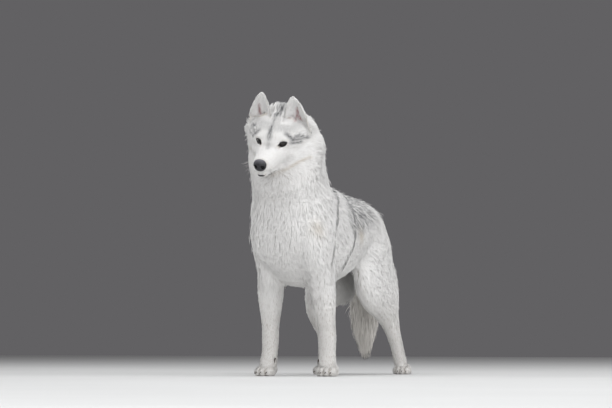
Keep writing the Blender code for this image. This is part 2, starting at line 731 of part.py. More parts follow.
def add_lock(locks, tree, root, lie, length, width, height, curl):
    """A flat lock: its root is sunk in the core, it follows the surface and lifts to a free tip.

    Where the surface ends, the lock goes straight on.
    """
    bm = bmesh.new()
    rings = []
    centre, normal = root, None
    for t, rise, share in LOCK_STATIONS:
        along = root + lie * (length * t)
        near, facing = tree.find_nearest(along)[:2]
        if normal is None or (near - along).length < LOCK_REACH:
            normal = facing
            along = near
        rise = -LOCK_SINK if rise is None else rise * height
        sideways = normal.cross(lie).normalized()
        centre = along + normal * rise + sideways * (curl * t * t)
        half, thick = width / 2 * share, LOCK_THICKNESS / 2 * share
        if share:
            corners = (sideways * half, normal * thick, -sideways * half, -normal * thick)
            rings.append([bm.verts.new(centre + corner) for corner in corners])
    tip = bm.verts.new(centre)
    bm.faces.new(rings[0])
    for low, high in zip(rings, rings[1:]):
        for k in range(4):
            bm.faces.new((low[k], low[(k + 1) % 4], high[(k + 1) % 4], high[k]))
    for k in range(4):
        bm.faces.new((rings[-1][k], rings[-1][(k + 1) % 4], tip))
    bmesh.ops.triangulate(bm, faces=bm.faces)
    object_from(bm, "lock", locks)


def outside(tree, centre, way):
    """The outermost point of the surface in this direction, and its normal."""
    far = centre + way * REACH / 2
    return tree.ray_cast(far, -way)[:2]


def along_surface(way, normal):
    return (way - normal * way.dot(normal)).normalized()


def in_plane(plane, angle):
    """The direction in the plane at this angle from straight ahead."""
    normal = plane[1]
    across = (Vector((1, 0, 0)) - normal * normal.x).normalized()
    ahead = across.cross(normal)
    ahead = ahead if ahead.y < 0 else -ahead
    return across * math.sin(angle) + ahead * math.cos(angle)


def ruff_locks(locks, tree):
    """Rings of locks round the neck, from behind the jaw down over the shoulders."""
    draw = random.Random(SEED)
    behind_jaw = HEAD_PLANE[0] - HEAD_PLANE[1] * RUFF_BELOW_JAW
    sizes = RUFF_LOCK
    for row, share in enumerate(RUFF_ROWS):
        for k in range(RUFF_LOCKS):
            angle = 2 * math.pi * (k + 0.5 * (row % 2) + draw.uniform(-0.14, 0.14)) / RUFF_LOCKS
            centre = behind_jaw.lerp(RUFF_BOTTOM, share)
            way = in_plane(HEAD_PLANE, angle).lerp(in_plane(NECK_PLANE, angle), share).normalized()
            root, normal = outside(tree, centre, way)
            below = outside(tree, centre + (RUFF_BOTTOM - behind_jaw) / 5, way)[0]
            lie = along_surface(below - root, normal)
            ahead = math.cos(angle)
            room = height_over(np.array(root), NECK_PLANE) + RUFF_OVERHANG[0] - RUFF_OVERHANG[1] * ahead
            length = draw.uniform(*sizes["length"]) - sizes["shorter in front"] * ahead
            length = min(length, room)
            tip = np.array([root + lie * length])
            rise = max(coat_depth(tip)[0], sizes["least rise"]) * draw.uniform(*RISE_RANGE)
            add_lock(locks, tree, root, lie, length, draw.uniform(*sizes["width"]), rise,
                     draw.uniform(-sizes["curl"], sizes["curl"]))


def chest_locks(locks, tree):
    """Locks down the breast, and the fringe under the belly."""
    draw = random.Random(SEED)
    for row, height in enumerate(CHEST_ROWS):
        for k in range(CHEST_LOCKS):
            angle = CHEST_STEP * (k - (CHEST_LOCKS - 1) / 2 + 0.5 * (row % 2) - 0.25)
            way = Vector((math.sin(angle), -math.cos(angle), 0))
            root, normal = outside(tree, CHEST_MIDDLE + Vector((0, 0, height)), way)
            lie = along_surface(Vector((0.1 * way.x, 0.15, -1)), normal)
            add_lock(locks, tree, root, lie, draw.uniform(*CHEST_LOCK["length"]),
                     draw.uniform(*CHEST_LOCK["width"]), CHEST_DEPTH * draw.uniform(*RISE_RANGE),
                     draw.uniform(-CHEST_LOCK["curl"], CHEST_LOCK["curl"]))
    for k in range(BELLY_LOCKS):
        for side in (1, -1):
            start = BELLY_START + Vector((0, BELLY_STEP * (k + 0.25 * side), 0))
            way = Vector((side * 0.42, 0, -1)).normalized()
            root, normal = outside(tree, start, way)
            lie = along_surface(Vector((0, 1, -0.35)), normal)
            add_lock(locks, tree, root, lie, draw.uniform(*BELLY_LOCK["length"]),
                     draw.uniform(*BELLY_LOCK["width"]), BELLY_DEPTH * draw.uniform(*RISE_RANGE),
                     side * draw.uniform(0, BELLY_LOCK["curl"]))


def breech_locks(locks, tree, word):
    """Locks down the back of the thigh."""
    draw = random.Random(SEED)
    rows = np.array(HINDLEG[word])[::-1]
    for row, height in enumerate(BREECH_ROWS):
        x, y = (np.interp(height, rows[:, 2], rows[:, k]) for k in (0, 1))
        for k in range(2):
            angle = math.radians(34 * (k - 0.5) + 12 * (row % 2) - 6)
            way = Vector((math.sin(angle), math.cos(angle), 0))
            root, normal = outside(tree, Vector((x, y, height)), way)
            lie = along_surface(Vector((0, 0.25, -1)), normal)
            add_lock(locks, tree, root, lie, draw.uniform(*BREECH_LOCK["length"]),
                     draw.uniform(*BREECH_LOCK["width"]), draw.uniform(*BREECH_LOCK["rise"]),
                     draw.uniform(-BREECH_LOCK["curl"], BREECH_LOCK["curl"]))


def brush_locks(locks, tree):
    """Rings of locks down the tail, and the last ones past its tip."""
    draw = random.Random(SEED)
    rows = np.array(TAIL)[::-1]
    for row, height in enumerate(BRUSH_ROWS):
        x, y, width, back = (np.interp(height, rows[:, 2], rows[:, k]) for k in (0, 1, 3, 4))
        for k in range(BRUSH_LOCKS):
            angle = 2 * math.pi * (k + 0.5 * (row % 2) + draw.uniform(-0.1, 0.1)) / BRUSH_LOCKS
            way = Vector((math.sin(angle), math.cos(angle), 0))
            root, normal = outside(tree, Vector((x, y, height)), way)
            lie = along_surface(Vector((0, 0.1, -1)), normal)
            add_lock(locks, tree, root, lie, draw.uniform(*BRUSH_LOCK["length"]),
                     draw.uniform(*BRUSH_LOCK["width"]), (1 - BRUSH_SHARE) * (width + back) / 2,
                     draw.uniform(-BRUSH_LOCK["curl"], BRUSH_LOCK["curl"]))
    end = Vector(TAIL[-2][:3])
    tip = Vector(TAIL[-1][:3]) - Vector((0, 0, BRUSH_TIP_LOCK["past the end"]))
    for k in range(3):
        way = Vector((math.sin(2.1 * k), math.cos(2.1 * k), 0))
        root, normal = outside(tree, end + Vector((0, 0, 0.012)), way)
        lie = (tip + way * BRUSH_TIP_LOCK["spread"] - root).normalized()
        add_lock(locks, tree, root, lie, (tip - root).length, BRUSH_TIP_LOCK["width"],
                 BRUSH_TIP_LOCK["rise"], 0)


def join_locks(obj, locks):
    """Fuses the locks with the node they grow from, in one union."""
    set_modifier(obj, "BOOLEAN", operation="UNION", solver="MANIFOLD", operand_type="COLLECTION",
                 collection=locks)
    applied(obj)
    for lock in list(locks.objects):
        bpy.data.objects.remove(lock, do_unlink=True)
    return largest_body(obj)


def tree_of(*objects):
    """A search tree over the surfaces of several objects."""
    bm = bmesh.new()
    for obj in objects:
        bm.from_mesh(obj.data)
    tree = BVHTree.FromBMesh(bm)
    bm.free()
    return tree


def tail_core(home):
    bm = bmesh.new()
    rows = [(*row[:3], *(BRUSH_SHARE * size for size in row[3:])) for row in TAIL[:-1]]
    add_loft(bm, rows, sides=16)
    return soften(object_from(bm, "tail", home))


def main():
    clear_scene()
    dog = collection("siberian_husky")
    locks = collection("locks")
    collection("cutters")

    head = head_form(dog)
    body = body_form(dog)
    surface = tree_of(body)
    tail = tail_core(dog)
    boolean(tail, inflated(body), "DIFFERENCE")

    point, normal = HEAD_PLANE
    boolean(head, half_space(point + normal * GAP / 2, normal), "INTERSECT")
    boolean(body, half_space(point - normal * GAP / 2, -normal), "INTERSECT")
    make_head(head)
    largest_body(head)

    nose = nose_leather(dog)
    boolean(head, inflated(nose), "DIFFERENCE")
    largest_body(head)
    for side, word in ((1, "left"), (-1, "right")):
        eye = ball("eye_" + word, EYE_RADIUS, eye_matrix(side), dog)
        finish_node(eye, "eye")
        cupped = ear(side, dog)
        boolean(cupped, inflated(head), "DIFFERENCE")
        finish_node(largest_body(cupped), "ear coat")

    neck = cut_pair(body, NECK_PLANE, dog, "neck")
    ruff_locks(locks, surface)
    join_locks(neck, locks)
    boolean(neck, half_space(point - normal * GAP / 2, -normal), "INTERSECT")
    boolean(neck, inflated(body), "DIFFERENCE")
    largest_body(neck)
    chest_locks(locks, surface)
    for word in ("left", "right"):
        breech_locks(locks, surface, word)
    join_locks(body, locks)
    brush_locks(locks, tree_of(tail))
    join_locks(tail, locks)

    parts = [neck, tail]
    for side, word in ((1, "left"), (-1, "right")):
        parts += front_limb(side, word, body, dog)
        parts += hind_limb(side, word, body, dog)

    body.name = "torso"
    largest_body(body)
    finish_node(head, "white coat")
    finish_node(nose, "nose leather")
    finish_node(body, "white coat")
    for part in parts:
        finish_node(part, "claw horn" if part.name.startswith("claw") else "white coat")
    bpy.data.collections.remove(locks)
    centre_on_floor(dog)


def front_limb(side, word, body, home):
    """Parts the leg from the body, and sets its paw and claws under it."""
    inner, outer = sorted((side * FORELEG_BLOCK["inner"], side * FORELEG_BLOCK["outer"]))
    leg = cut_block(body, (inner, -FORELEG_BLOCK["front"], -FORELEG_BLOCK["below"]),
                    (outer, FORELEG_BLOCK["back"], FORELEG_BLOCK["top"]), home, "foreleg_" + word)
    boolean(leg, half_space((0, 0, WRIST_HEIGHT + GAP), (0, 0, 1)), "INTERSECT")
    paw = paw_form("forepaw_" + word, FORELEG[word], home)
    boolean(paw, block((-REACH, -REACH, FLOOR), (REACH, REACH, WRIST_HEIGHT)), "INTERSECT")
    return [leg, paw, *claws(paw.name, paw, home)]


def hind_limb(side, word, body, home):
    """Parts the thigh and the hock from the body, and sets the paw and claws under them."""
    tilt = Matrix.Translation(THIGH_CUT_AT) @ Matrix.Rotation(THIGH_CUT_TILT, 4, "X")
    inner, outer = sorted((side * THIGH_BLOCK["inner"], side * THIGH_BLOCK["outer"]))
    thigh = cut_block(body, (inner, -THIGH_BLOCK["front"], -THIGH_BLOCK["below"]),
                      (outer, THIGH_BLOCK["back"], 0), home, "thigh_" + word, tilt)
    shank = cut_pair(thigh, HOCK_PLANE, home, "hock_" + word)
    boolean(shank, half_space((0, 0, WRIST_HEIGHT + GAP), (0, 0, 1)), "INTERSECT")
    paw = paw_form("hindpaw_" + word, HINDLEG[word], home)
    boolean(paw, block((-REACH, -REACH, FLOOR), (REACH, REACH, WRIST_HEIGHT)), "INTERSECT")
    return [thigh, shank, paw, *claws(paw.name, paw, home)]


def claws(paw_name, paw, home):
    made = []
    for k, (x, y) in enumerate(TOES, 1):
        place = (paw_matrix(paw_name) @ Matrix.Translation(Vector((x, y, 0)) + CLAW_ROOT)
                 @ Matrix.Rotation(TOE_FAN * x, 4, "Z"))
        horn = claw(f"claw_{paw_name}_{k}", place, home)
        boolean(horn, inflated(paw), "DIFFERENCE")
        made.append(largest_body(horn))
    return made


def centre_on_floor(home):
    """Moves the dog so that the middle of its box stands over the origin."""
    points = np.array([v.co for obj in home.objects for v in obj.data.vertices])
    middle = (points.min(axis=0) + points.max(axis=0)) / 2
    for obj in home.objects:
        obj.data.transform(Matrix.Translation((-middle[0], -middle[1], 0)))


main()
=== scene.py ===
import math

import bpy
import numpy as np
from mathutils import Matrix, Vector, noise
from mathutils.bvhtree import BVHTree
from mathutils.kdtree import KDTree


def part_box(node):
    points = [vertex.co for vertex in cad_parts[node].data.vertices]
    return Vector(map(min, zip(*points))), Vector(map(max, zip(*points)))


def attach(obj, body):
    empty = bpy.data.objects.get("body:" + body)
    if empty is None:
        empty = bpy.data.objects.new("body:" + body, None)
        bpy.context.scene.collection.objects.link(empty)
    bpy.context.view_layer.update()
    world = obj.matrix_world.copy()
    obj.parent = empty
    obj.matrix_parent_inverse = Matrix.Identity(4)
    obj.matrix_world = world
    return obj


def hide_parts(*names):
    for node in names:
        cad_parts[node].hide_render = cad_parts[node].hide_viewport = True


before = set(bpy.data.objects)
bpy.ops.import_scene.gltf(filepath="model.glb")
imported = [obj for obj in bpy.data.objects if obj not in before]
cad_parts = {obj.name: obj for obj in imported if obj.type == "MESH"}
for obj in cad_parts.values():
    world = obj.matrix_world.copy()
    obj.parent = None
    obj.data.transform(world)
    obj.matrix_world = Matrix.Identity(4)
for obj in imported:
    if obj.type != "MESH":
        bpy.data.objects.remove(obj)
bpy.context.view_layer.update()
dice = np.random.default_rng(7)  # the only source of chance, always the same
bothSides = (1, -1)              # the dog's left, then its right


# Small tools

def linear(hexColour):
    parts = [int(hexColour[k:k + 2], 16) / 255 for k in (1, 3, 5)]
    return (*[c / 12.92 if c <= 0.04045 else ((c + 0.055) / 1.055) ** 2.4 for c in parts], 1.0)


def pick(*objects):
    # selects these alone, or nothing
    if bpy.context.object and bpy.context.object.mode != "OBJECT":
        bpy.ops.object.mode_set(mode="OBJECT")
    bpy.ops.object.select_all(action="DESELECT")
    for obj in objects:
        obj.select_set(True)
    if objects:
        bpy.context.view_layer.objects.active = objects[0]


def editWhole(obj, operator, **settings):
    pick(obj)
    bpy.ops.object.mode_set(mode="EDIT")
    bpy.ops.mesh.select_all(action="SELECT")
    operator(**settings)
    bpy.ops.object.mode_set(mode="OBJECT")
    return obj


def faceOutward(obj):
    return editWhole(obj, bpy.ops.mesh.normals_make_consistent, inside=False)


def applyModifier(obj, kind, **settings):
    pick(obj)
    modifier = obj.modifiers.new(kind.lower(), kind)
    for key, value in settings.items():
        setattr(modifier, key, value)
    bpy.ops.object.modifier_apply(modifier=modifier.name)


def primitive(name, operator, **settings):
    pick()
    operator(**settings)
    obj = bpy.context.object
    obj.name = name
    return obj


def addObject(name, data):
    obj = bpy.data.objects.new(name, data)
    bpy.context.scene.collection.objects.link(obj)
    return obj


def meshObject(name, points, faces):
    mesh = bpy.data.meshes.new(name)
    mesh.from_pydata([tuple(p) for p in points], [], [tuple(f) for f in faces])
    mesh.update()
    mesh.shade_smooth()
    return addObject(name, mesh)


def joined(objects, name):
    pick(*objects)
    if len(objects) > 1:
        bpy.ops.object.join()
    obj = bpy.context.object
    obj.name = obj.data.name = name
    return obj


def readArray(items, key, kind, width):
    values = np.empty(len(items) * width, kind)
    items.foreach_get(key, values)
    return values.reshape(-1, width)


def pointsOf(obj):
    return readArray(obj.data.vertices, "co", np.float32, 3).astype(float)


def normalsOf(obj):
    return readArray(obj.data.vertex_normals, "vector", np.float32, 3).astype(float)


def setPoints(obj, points):
    obj.data.vertices.foreach_set("co", np.asarray(points, np.float32).ravel())
    obj.data.update()


def setFloat(obj, name, values):
    layer = obj.data.attributes.new(name, "FLOAT", "POINT")
    layer.data.foreach_set("value", np.asarray(values, np.float32))


def ramp(value, start, end):
    t = np.clip((value - start) / (end - start), 0, 1)
    return t * t * (3 - 2 * t)


def bell(value, width):
    return np.exp(-(value / width) ** 2)


def unit(vectors):
    return vectors / np.maximum(np.linalg.norm(vectors, axis=-1, keepdims=True), 1e-9)


def dot(a, b):
    return (a * b).sum(axis=1, keepdims=True)


def moved(matrix, points):
    m = np.array(matrix)
    return np.asarray(points, float) @ m[:3, :3].T + m[:3, 3]


def turned(matrix, vectors):
    return np.asarray(vectors, float) @ np.array(matrix)[:3, :3].T


def rotated(angle, axis):
    return Matrix.Rotation(angle, 4, axis)


def distanceTo(points, path, stretch=1.0):
    # distance to the path, the number of its nearest part and the share along that part
    nearest, part, share = np.ones(len(points)), np.zeros(len(points), int), np.zeros(len(points))
    for k, (a, b) in enumerate(zip(path, path[1:])):
        t = np.clip(((points - a) @ (b - a)) / ((b - a) @ (b - a) + 1e-12), 0, 1)
        away = np.linalg.norm((points - a - t[:, None] * (b - a)) * stretch, axis=1)
        closer = away < nearest
        nearest[closer], part[closer], share[closer] = away[closer], k, t[closer]
    return nearest, part, share


def tubeFaces(rings, around, closed=False):
    # faces between rings of points, from end to end with a cap on each, or round in a loop
    faces = [(j * around + k, j * around + (k + 1) % around, (j + 1) % rings * around + (k + 1) % around,
              (j + 1) % rings * around + k) for j in range(rings - (not closed)) for k in range(around)]
    if not closed:
        faces += [tuple(range(around))[::-1], tuple(range((rings - 1) * around, rings * around))]
    return faces


def metres(rows):
    # the tables are written in tenths of a millimetre
    return np.array(rows) / 10000


# Stations of the body: x, y, z of the path, half width, then the reach to either side of it

torsoRows = metres([
    (-30, -1430, 4200, 100, 110, 100), (-30, -1390, 4200, 370, 400, 360), (-30, -1280, 4210, 700, 770, 670),
    (-40, -1050, 4210, 980, 1120, 960), (-40, -680, 4230, 1190, 1370, 1240),
    (-40, -250, 4260, 1320, 1490, 1470), (-30, 250, 4280, 1390, 1580, 1580), (0, 1100, 4280, 1430, 1530, 1530),
    (0, 1900, 4330, 1360, 1380, 1400), (0, 2650, 4400, 1240, 1210, 1200), (0, 3300, 4430, 1160, 1090, 1000),
    (0, 3850, 4460, 1130, 970, 880), (0, 4320, 4420, 1000, 800, 760), (0, 4700, 4320, 660, 580, 580)])
neckRows = metres([
    (-40, 100, 4200, 1120, 1200, 1200), (-50, -100, 4900, 1270, 1340, 1270),
    (-60, -300, 5600, 1220, 1220, 1160), (-80, -420, 6250, 1190, 1080, 1080),
    (-110, -500, 6850, 1180, 960, 980), (-160, -660, 7350, 1060, 780, 680)])
forelegRows = {
    1: metres([
        (760, -300, 4500, 500, 750, 880), (800, -160, 3800, 520, 660, 980), (820, 30, 3100, 430, 470, 700),
        (880, 40, 2550, 370, 360, 400), (920, 80, 1950, 308, 300, 320), (950, 160, 1400, 268, 260, 270),
        (960, 160, 1080, 270, 260, 270), (980, 120, 700, 258, 250, 250), (1010, 40, 340, 285, 290, 300)]),
    -1: metres([
        (-800, -300, 4500, 500, 750, 880), (-800, -220, 3800, 400, 660, 850),
        (-830, -100, 3100, 370, 480, 640), (-900, 0, 2550, 395, 370, 400), (-890, -20, 1950, 320, 310, 320),
        (-880, -40, 1400, 268, 260, 270), (-880, -50, 1080, 268, 260, 270), (-880, -90, 700, 255, 250, 250),
        (-890, -170, 340, 290, 290, 300)]),
}
hindlegRows = {
    1: metres([
        (560, 3850, 4600, 520, 700, 1000), (740, 3850, 4000, 490, 960, 1220),
        (830, 3750, 3350, 460, 1200, 1300), (870, 3920, 2700, 400, 1280, 1100),
        (910, 4300, 2120, 330, 940, 620), (940, 4640, 1650, 270, 420, 350), (990, 4780, 1300, 230, 280, 270),
        (1050, 4970, 800, 213, 230, 220), (1090, 5110, 360, 228, 250, 250)]),
    -1: metres([
        (-560, 3850, 4600, 520, 700, 1000), (-740, 3600, 4000, 500, 1120, 1160),
        (-790, 3420, 3350, 500, 1350, 1120), (-770, 3350, 2700, 470, 1410, 800),
        (-840, 3320, 2120, 360, 860, 740), (-870, 3480, 1650, 275, 380, 460),
        (-870, 3640, 1300, 245, 290, 270), (-870, 3680, 800, 230, 240, 240), (-870, 3680, 360, 250, 270, 270)]),
}
tailRows = metres([
    (0, 4300, 4860, 320, 340, 340), (-40, 4840, 4560, 380, 400, 340), (-100, 5260, 4000, 450, 450, 320),
    (-190, 5440, 3300, 510, 480, 340), (-280, 5470, 2550, 530, 480, 360), (-320, 5430, 1800, 480, 420, 340),
    (-280, 5360, 1150, 300, 260, 240), (-240, 5300, 600, 100, 90, 90)])
muzzleRows = metres([
    (0, -900, -420, 215, 180, 215), (0, -760, -420, 290, 225, 270), (0, -540, -405, 335, 255, 290),
    (0, -280, -375, 385, 300, 335), (0, -50, -340, 480, 345, 390), (0, 250, -300, 660, 430, 480),
    (0, 600, -300, 840, 500, 540), (0, 950, -300, 960, 550, 620)])
jawRows = metres([
    (0, -890, -700, 150, 85, 95), (0, -740, -690, 190, 110, 105), (0, -560, -670, 225, 130, 115),
    (0, -250, -670, 290, 160, 135), (0, 150, -680, 420, 210, 210), (0, 550, -680, 560, 260, 290)])
skullRows = metres([
    (0, -130, -80, 320, 180, 300), (0, 60, -60, 580, 360, 450), (0, 350, -60, 850, 580, 600),
    (0, 700, -60, 1010, 740, 740), (0, 1050, -60, 1080, 750, 800), (0, 1350, -80, 1020, 600, 780)])
# centre, then radii: brow, inner ear base, cheek, jaw and upper lip
faceSwellings = metres([
    ((330, 80, 100), (210, 170, 110)), ((405, 670, 540), (150, 130, 150)), ((430, 560, -350), (350, 620, 350)),
    ((600, 920, -400), (440, 560, 520)), ((200, -540, -480), (150, 320, 180))])

body = {
    "headPlane": (np.array((-0.012, -0.080, 0.705)), unit(np.array((0.12, -0.87, 0.48)))),
    "neckPlane": (np.array((0.0, -0.030, 0.540)), unit(np.array((0, -0.36, 0.93)))),
    "ruffDepth": 0.019,             # how far the skin lies inside the coat
    "chestDepth": 0.015,
    "trunkDepth": (0.0050, 0.0090),
    "skullDepth": 0.007,
    "faceDepth": (0.0022, 0.0028, 0.0060),
    "tailCore": 0.60,
    "skinVoxel": 0.0027,
    "skinTriangles": 170000,
    "pasternInset": 0.004,
}
head = {
    "eyeMidpoint": Vector((0.001, -0.170, 0.698)),
    "pitch": math.radians(24.0),
    "roll": math.radians(9.0),
    "yaw": math.radians(5.5),
}
headTurn = (Matrix.Translation(head["eyeMidpoint"]) @ rotated(head["yaw"], "Z")
            @ rotated(head["pitch"], "X") @ rotated(head["roll"], "Y"))
intoHead = headTurn.inverted()

eye = {
    "radius": 0.0115,
    "at": Vector((0.0325, 0.003, 0.000)),
    "turn": math.radians(28.0),
    "tilt": math.radians(17.0),
    "gaze": math.radians(14),
    "opening": (0.0268, 0.0142),
    "cornerPinch": 0.35,
    "irisRadius": 0.0074,
    "pupilRadius": 0.0034,
    "cornea": 0.0006,            # how far it stands proud of the ball
    "rimWidth": 0.0027,
    "corner": (0.0100, 0.0046),  # how far the inner corner is drawn out and down
    "cornerSink": 0.0016,
    "bareEdge": 0.0016,          # how far round the opening no hair grows
    "bareCorner": (0.0165, 0.0026, 0.0060),
    "reach": 0.021,              # of the finer faces round the eye
}
ear = {
    "at": Vector((0.0530, 0.080, 0.044)),
    "height": 0.079,
    "root": 0.030,
    "halfWidth": 0.0368,
    "wall": 0.0075,
    "cup": 0.024,
    "turn": math.radians(10),
    "leanIn": {1: math.radians(10), -1: math.radians(-3)},
    "leanForward": math.radians(5),
    "tipForward": 0.006,
}
paw = {
    1: {"fore": ((0.109, -0.004, 0), 4), "hind": ((0.116, 0.513, 0), 10)},
    -1: {"fore": ((-0.089, -0.026, 0), -6), "hind": ((-0.088, 0.358, 0), -6)},
    "pad": ((0, 0.004, 0.020), (0.0275, 0.031, 0.0205)),
    "toes": [(-0.0215, -0.013), (-0.0080, -0.026), (0.0080, -0.026), (0.0215, -0.013)],
    "toeRadii": (0.0112, 0.0196, 0.0146),
    "toeHeight": 0.0128,
    "splay": -8,  # radians for each metre from the paw's middle
    "sole": 0.0006,
    "size": {"fore": 1.0, "hind": 0.88},
    "gaps": (-0.0150, 0.0, 0.0150),
    "gapDepth": 0.0036,
    "gapWidth": 0.0026,
}
pawPlaces = [(side, which) for side in bothSides for which in ("fore", "hind")]


def sided(at, side):
    return Matrix.Translation((side * at.x, at.y, at.z))


def eyeTurn(side):
    return (headTurn @ sided(eye["at"], side) @ rotated(side * eye["turn"], "Z")
            @ rotated(-side * eye["tilt"], "Y"))


def earTurn(side):
    return (headTurn @ sided(ear["at"], side) @ rotated(side * ear["turn"], "Z")
            @ rotated(-side * ear["leanIn"][side], "Y") @ rotated(ear["leanForward"], "X"))


def pawTurn(side, which):
    place, degrees = paw[side][which]
    return (Matrix.Translation(place) @ rotated(math.radians(degrees), "Z")
            @ Matrix.Scale(paw["size"][which], 4))


# The tables stand in the dog's own place; this moves the finished pieces onto the frame
eyeLow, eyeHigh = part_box("eye_left")
toFrame = (eyeLow + eyeHigh) / 2 - eyeTurn(1).translation
toFrame.z = 0.0


def smoothRows(rows, steps):
    rows = np.array(rows, float)
    padded = np.vstack([2 * rows[0] - rows[1], rows, 2 * rows[-1] - rows[-2]])
    out = []
    for k in range(len(rows) - 1):
        a, b, c, d = padded[k:k + 4]
        for t in np.arange(steps) / steps:
            out.append(0.5 * (2 * b + (c - a) * t + (2 * a - 5 * b + 4 * c - d) * t ** 2
                              + (3 * b - a - 3 * c + d) * t ** 3))
    out.append(rows[-1])
    return np.array(out)


def loft(name, rows, sides=28, steps=5, square=0.92):
    # a closed body through the stations, with a dome on each end
    rows = smoothRows(rows, steps)
    tangents = np.gradient(rows[:, :3], axis=0)
    dome = [(0.5, 0.55), (0.3, 0.83)]  # how far out and how wide
    before = [(rows[0], tangents[0], -out * min(rows[0, 3:6]), size) for out, size in dome]
    stations = [(row, tangent, 0.0, 1.0) for row, tangent in zip(rows, tangents)]
    after = [(rows[-1], tangents[-1], out * min(rows[-1, 3:6]), size) for out, size in dome[::-1]]
    angles = np.arange(sides) * 2 * math.pi / sides
    wide, deep = (np.sign(v) * np.abs(v) ** square for v in (np.cos(angles), np.sin(angles)))
    points = []
    for row, tangent, shift, size in before + stations + after:
        along = unit(tangent)
        across = unit(np.array((1.0, 0, 0)) - along * along[0])
        reach = np.where(deep > 0, row[4], row[5])
        points.append(row[:3] + along * shift + np.outer(size * row[3] * wide, across)
                      + np.outer(size * reach * deep, np.cross(across, along)))
    return faceOutward(meshObject(name, np.vstack(points), tubeFaces(len(points), sides)))


def swelling(name, centre, radii, matrix=Matrix()):
    obj = primitive(name, bpy.ops.mesh.primitive_uv_sphere_add, segments=24, ring_count=14, radius=1)
    obj.data.transform(Matrix.Translation(centre) @ matrix @ Matrix.Diagonal((*radii, 1)))
    return obj


def skullForms():
    forms = [loft("muzzle", muzzleRows, square=0.85), loft("jaw", jawRows),
             loft("skull", skullRows, square=0.84)]
    forms += [swelling("face", centre * (side, 1, 1), radii)
              for centre, radii in faceSwellings for side in bothSides]
    for form in forms:
        form.data.transform(headTurn)
    return forms


def heightOver(points, plane):
    return (points - plane[0]) @ plane[1]


def ruffShare(points):
    return ramp(-heightOver(points, body["headPlane"]), -0.005, 0.060)


def bodyInset(points):
    # how far the skin lies inside the coat's outside on the body
    y, z = points[:, 1:].T
    ruff = body["ruffDepth"] * (ruffShare(points) * ramp(heightOver(points, body["neckPlane"]), -0.060, 0.015))
    chest = body["chestDepth"] * ramp(-y, 0.0, 0.06) * ramp(z, 0.30, 0.34) * ramp(-z, -0.56, -0.47)
    base, more = body["trunkDepth"]
    skull = body["skullDepth"] * ramp(heightOver(points, body["headPlane"]), 0.0, 0.03)
    return np.maximum.reduce([ruff, chest, base + more * ramp(z, 0.24, 0.36)]) + skull


def headInset(points):
    y = moved(intoHead, points)[:, 1]
    tip, cheek, crown = body["faceDepth"]
    face = tip + cheek * ramp(y, -0.04, 0.03) + crown * ramp(y, 0.03, 0.10)
    return np.maximum(face, body["ruffDepth"] * ruffShare(points))


def soften(obj, voxel, rounds, swell, inset=None):
    applyModifier(obj, "REMESH", mode="VOXEL", voxel_size=voxel)
    applyModifier(obj, "SMOOTH", factor=0.5, iterations=rounds)
    points = pointsOf(obj)
    shift = swell - (inset(points) if inset else 0)
    setPoints(obj, points + normalsOf(obj) * np.reshape(shift, (-1, 1)))
    return obj


def earForm(side):
    # a cupped sheet with a wall, thin at its edges
    across, up = 14, 16
    heights = np.array([-ear["root"] / ear["height"], -0.15, *np.linspace(0, 0.985, up)])
    v, s = np.meshgrid(heights, np.linspace(-1, 1, across + 1), indexing="ij")
    above = np.clip(v, 0, 1)
    half = ear["halfWidth"] * (1 - above ** 1.6) ** 0.68
    cup = ear["cup"] * (1 - above) ** 0.9 + 0.003
    sheet = np.stack([half * np.sin(s * 1.35) / math.sin(1.35),
                      -cup * (1 - np.cos(s * 1.45)) + ear["tipForward"] * above ** 2,
                      ear["height"] * v], axis=-1)
    out = unit(np.cross(np.gradient(sheet, axis=1), np.gradient(sheet, axis=0)))
    wall = (ear["wall"] / 2 * (1 - 0.75 * np.abs(s) ** 3) * (1 - 0.5 * above))[..., None]
    points = np.concatenate([(sheet + wall * out).reshape(-1, 3), (sheet - wall * out).reshape(-1, 3)])
    back = v.size
    grid = np.arange(back).reshape(v.shape)
    corners = (grid[:-1, :-1], grid[:-1, 1:], grid[1:, 1:], grid[1:, :-1])
    faces = []
    for a, b, c, d in zip(*(corner.ravel().tolist() for corner in corners)):
        faces += [(a, b, c, d), (back + d, back + c, back + b, back + a)]
    ring = np.concatenate([grid[0], grid[1:, -1], grid[-1, -2::-1], grid[-2:0:-1, 0]]).tolist()
    faces += [(b, a, back + a, back + b) for a, b in zip(ring, ring[1:] + ring[:1])]
    obj = meshObject("ear", points, faces)
    obj.data.transform(earTurn(side))
    return faceOutward(obj)


def pawForm(side, which):
    forms = [swelling("pad", *paw["pad"])]
    forms += [swelling("toe", (x, y, paw["toeHeight"]), paw["toeRadii"], rotated(paw["splay"] * x, "Z"))
              for x, y in paw["toes"]]
    for form in forms:
        form.data.transform(pawTurn(side, which))
    rows = (forelegRows if which == "fore" else hindlegRows)[side]
    thin = rows[-4:] - np.repeat((0, body["pasternInset"]), 3)
    forms.append(loft("pastern", thin, sides=20))
    return soften(joined(forms, "paw"), voxel=0.0022, rounds=3, swell=0.0)


def toeGaps(points):
    # 1 along the grooves between the toes
    gaps = np.zeros(len(points))
    for place in pawPlaces:
        x, y, z = moved(pawTurn(*place).inverted(), points).T
        front = ramp(-y, 0.012, 0.026) * ramp(-z, -0.034, -0.022) * (np.abs(x) < 0.03)
        for gap in paw["gaps"]:
            gaps = np.maximum(gaps, front * bell(x - gap, paw["gapWidth"]))
    return gaps


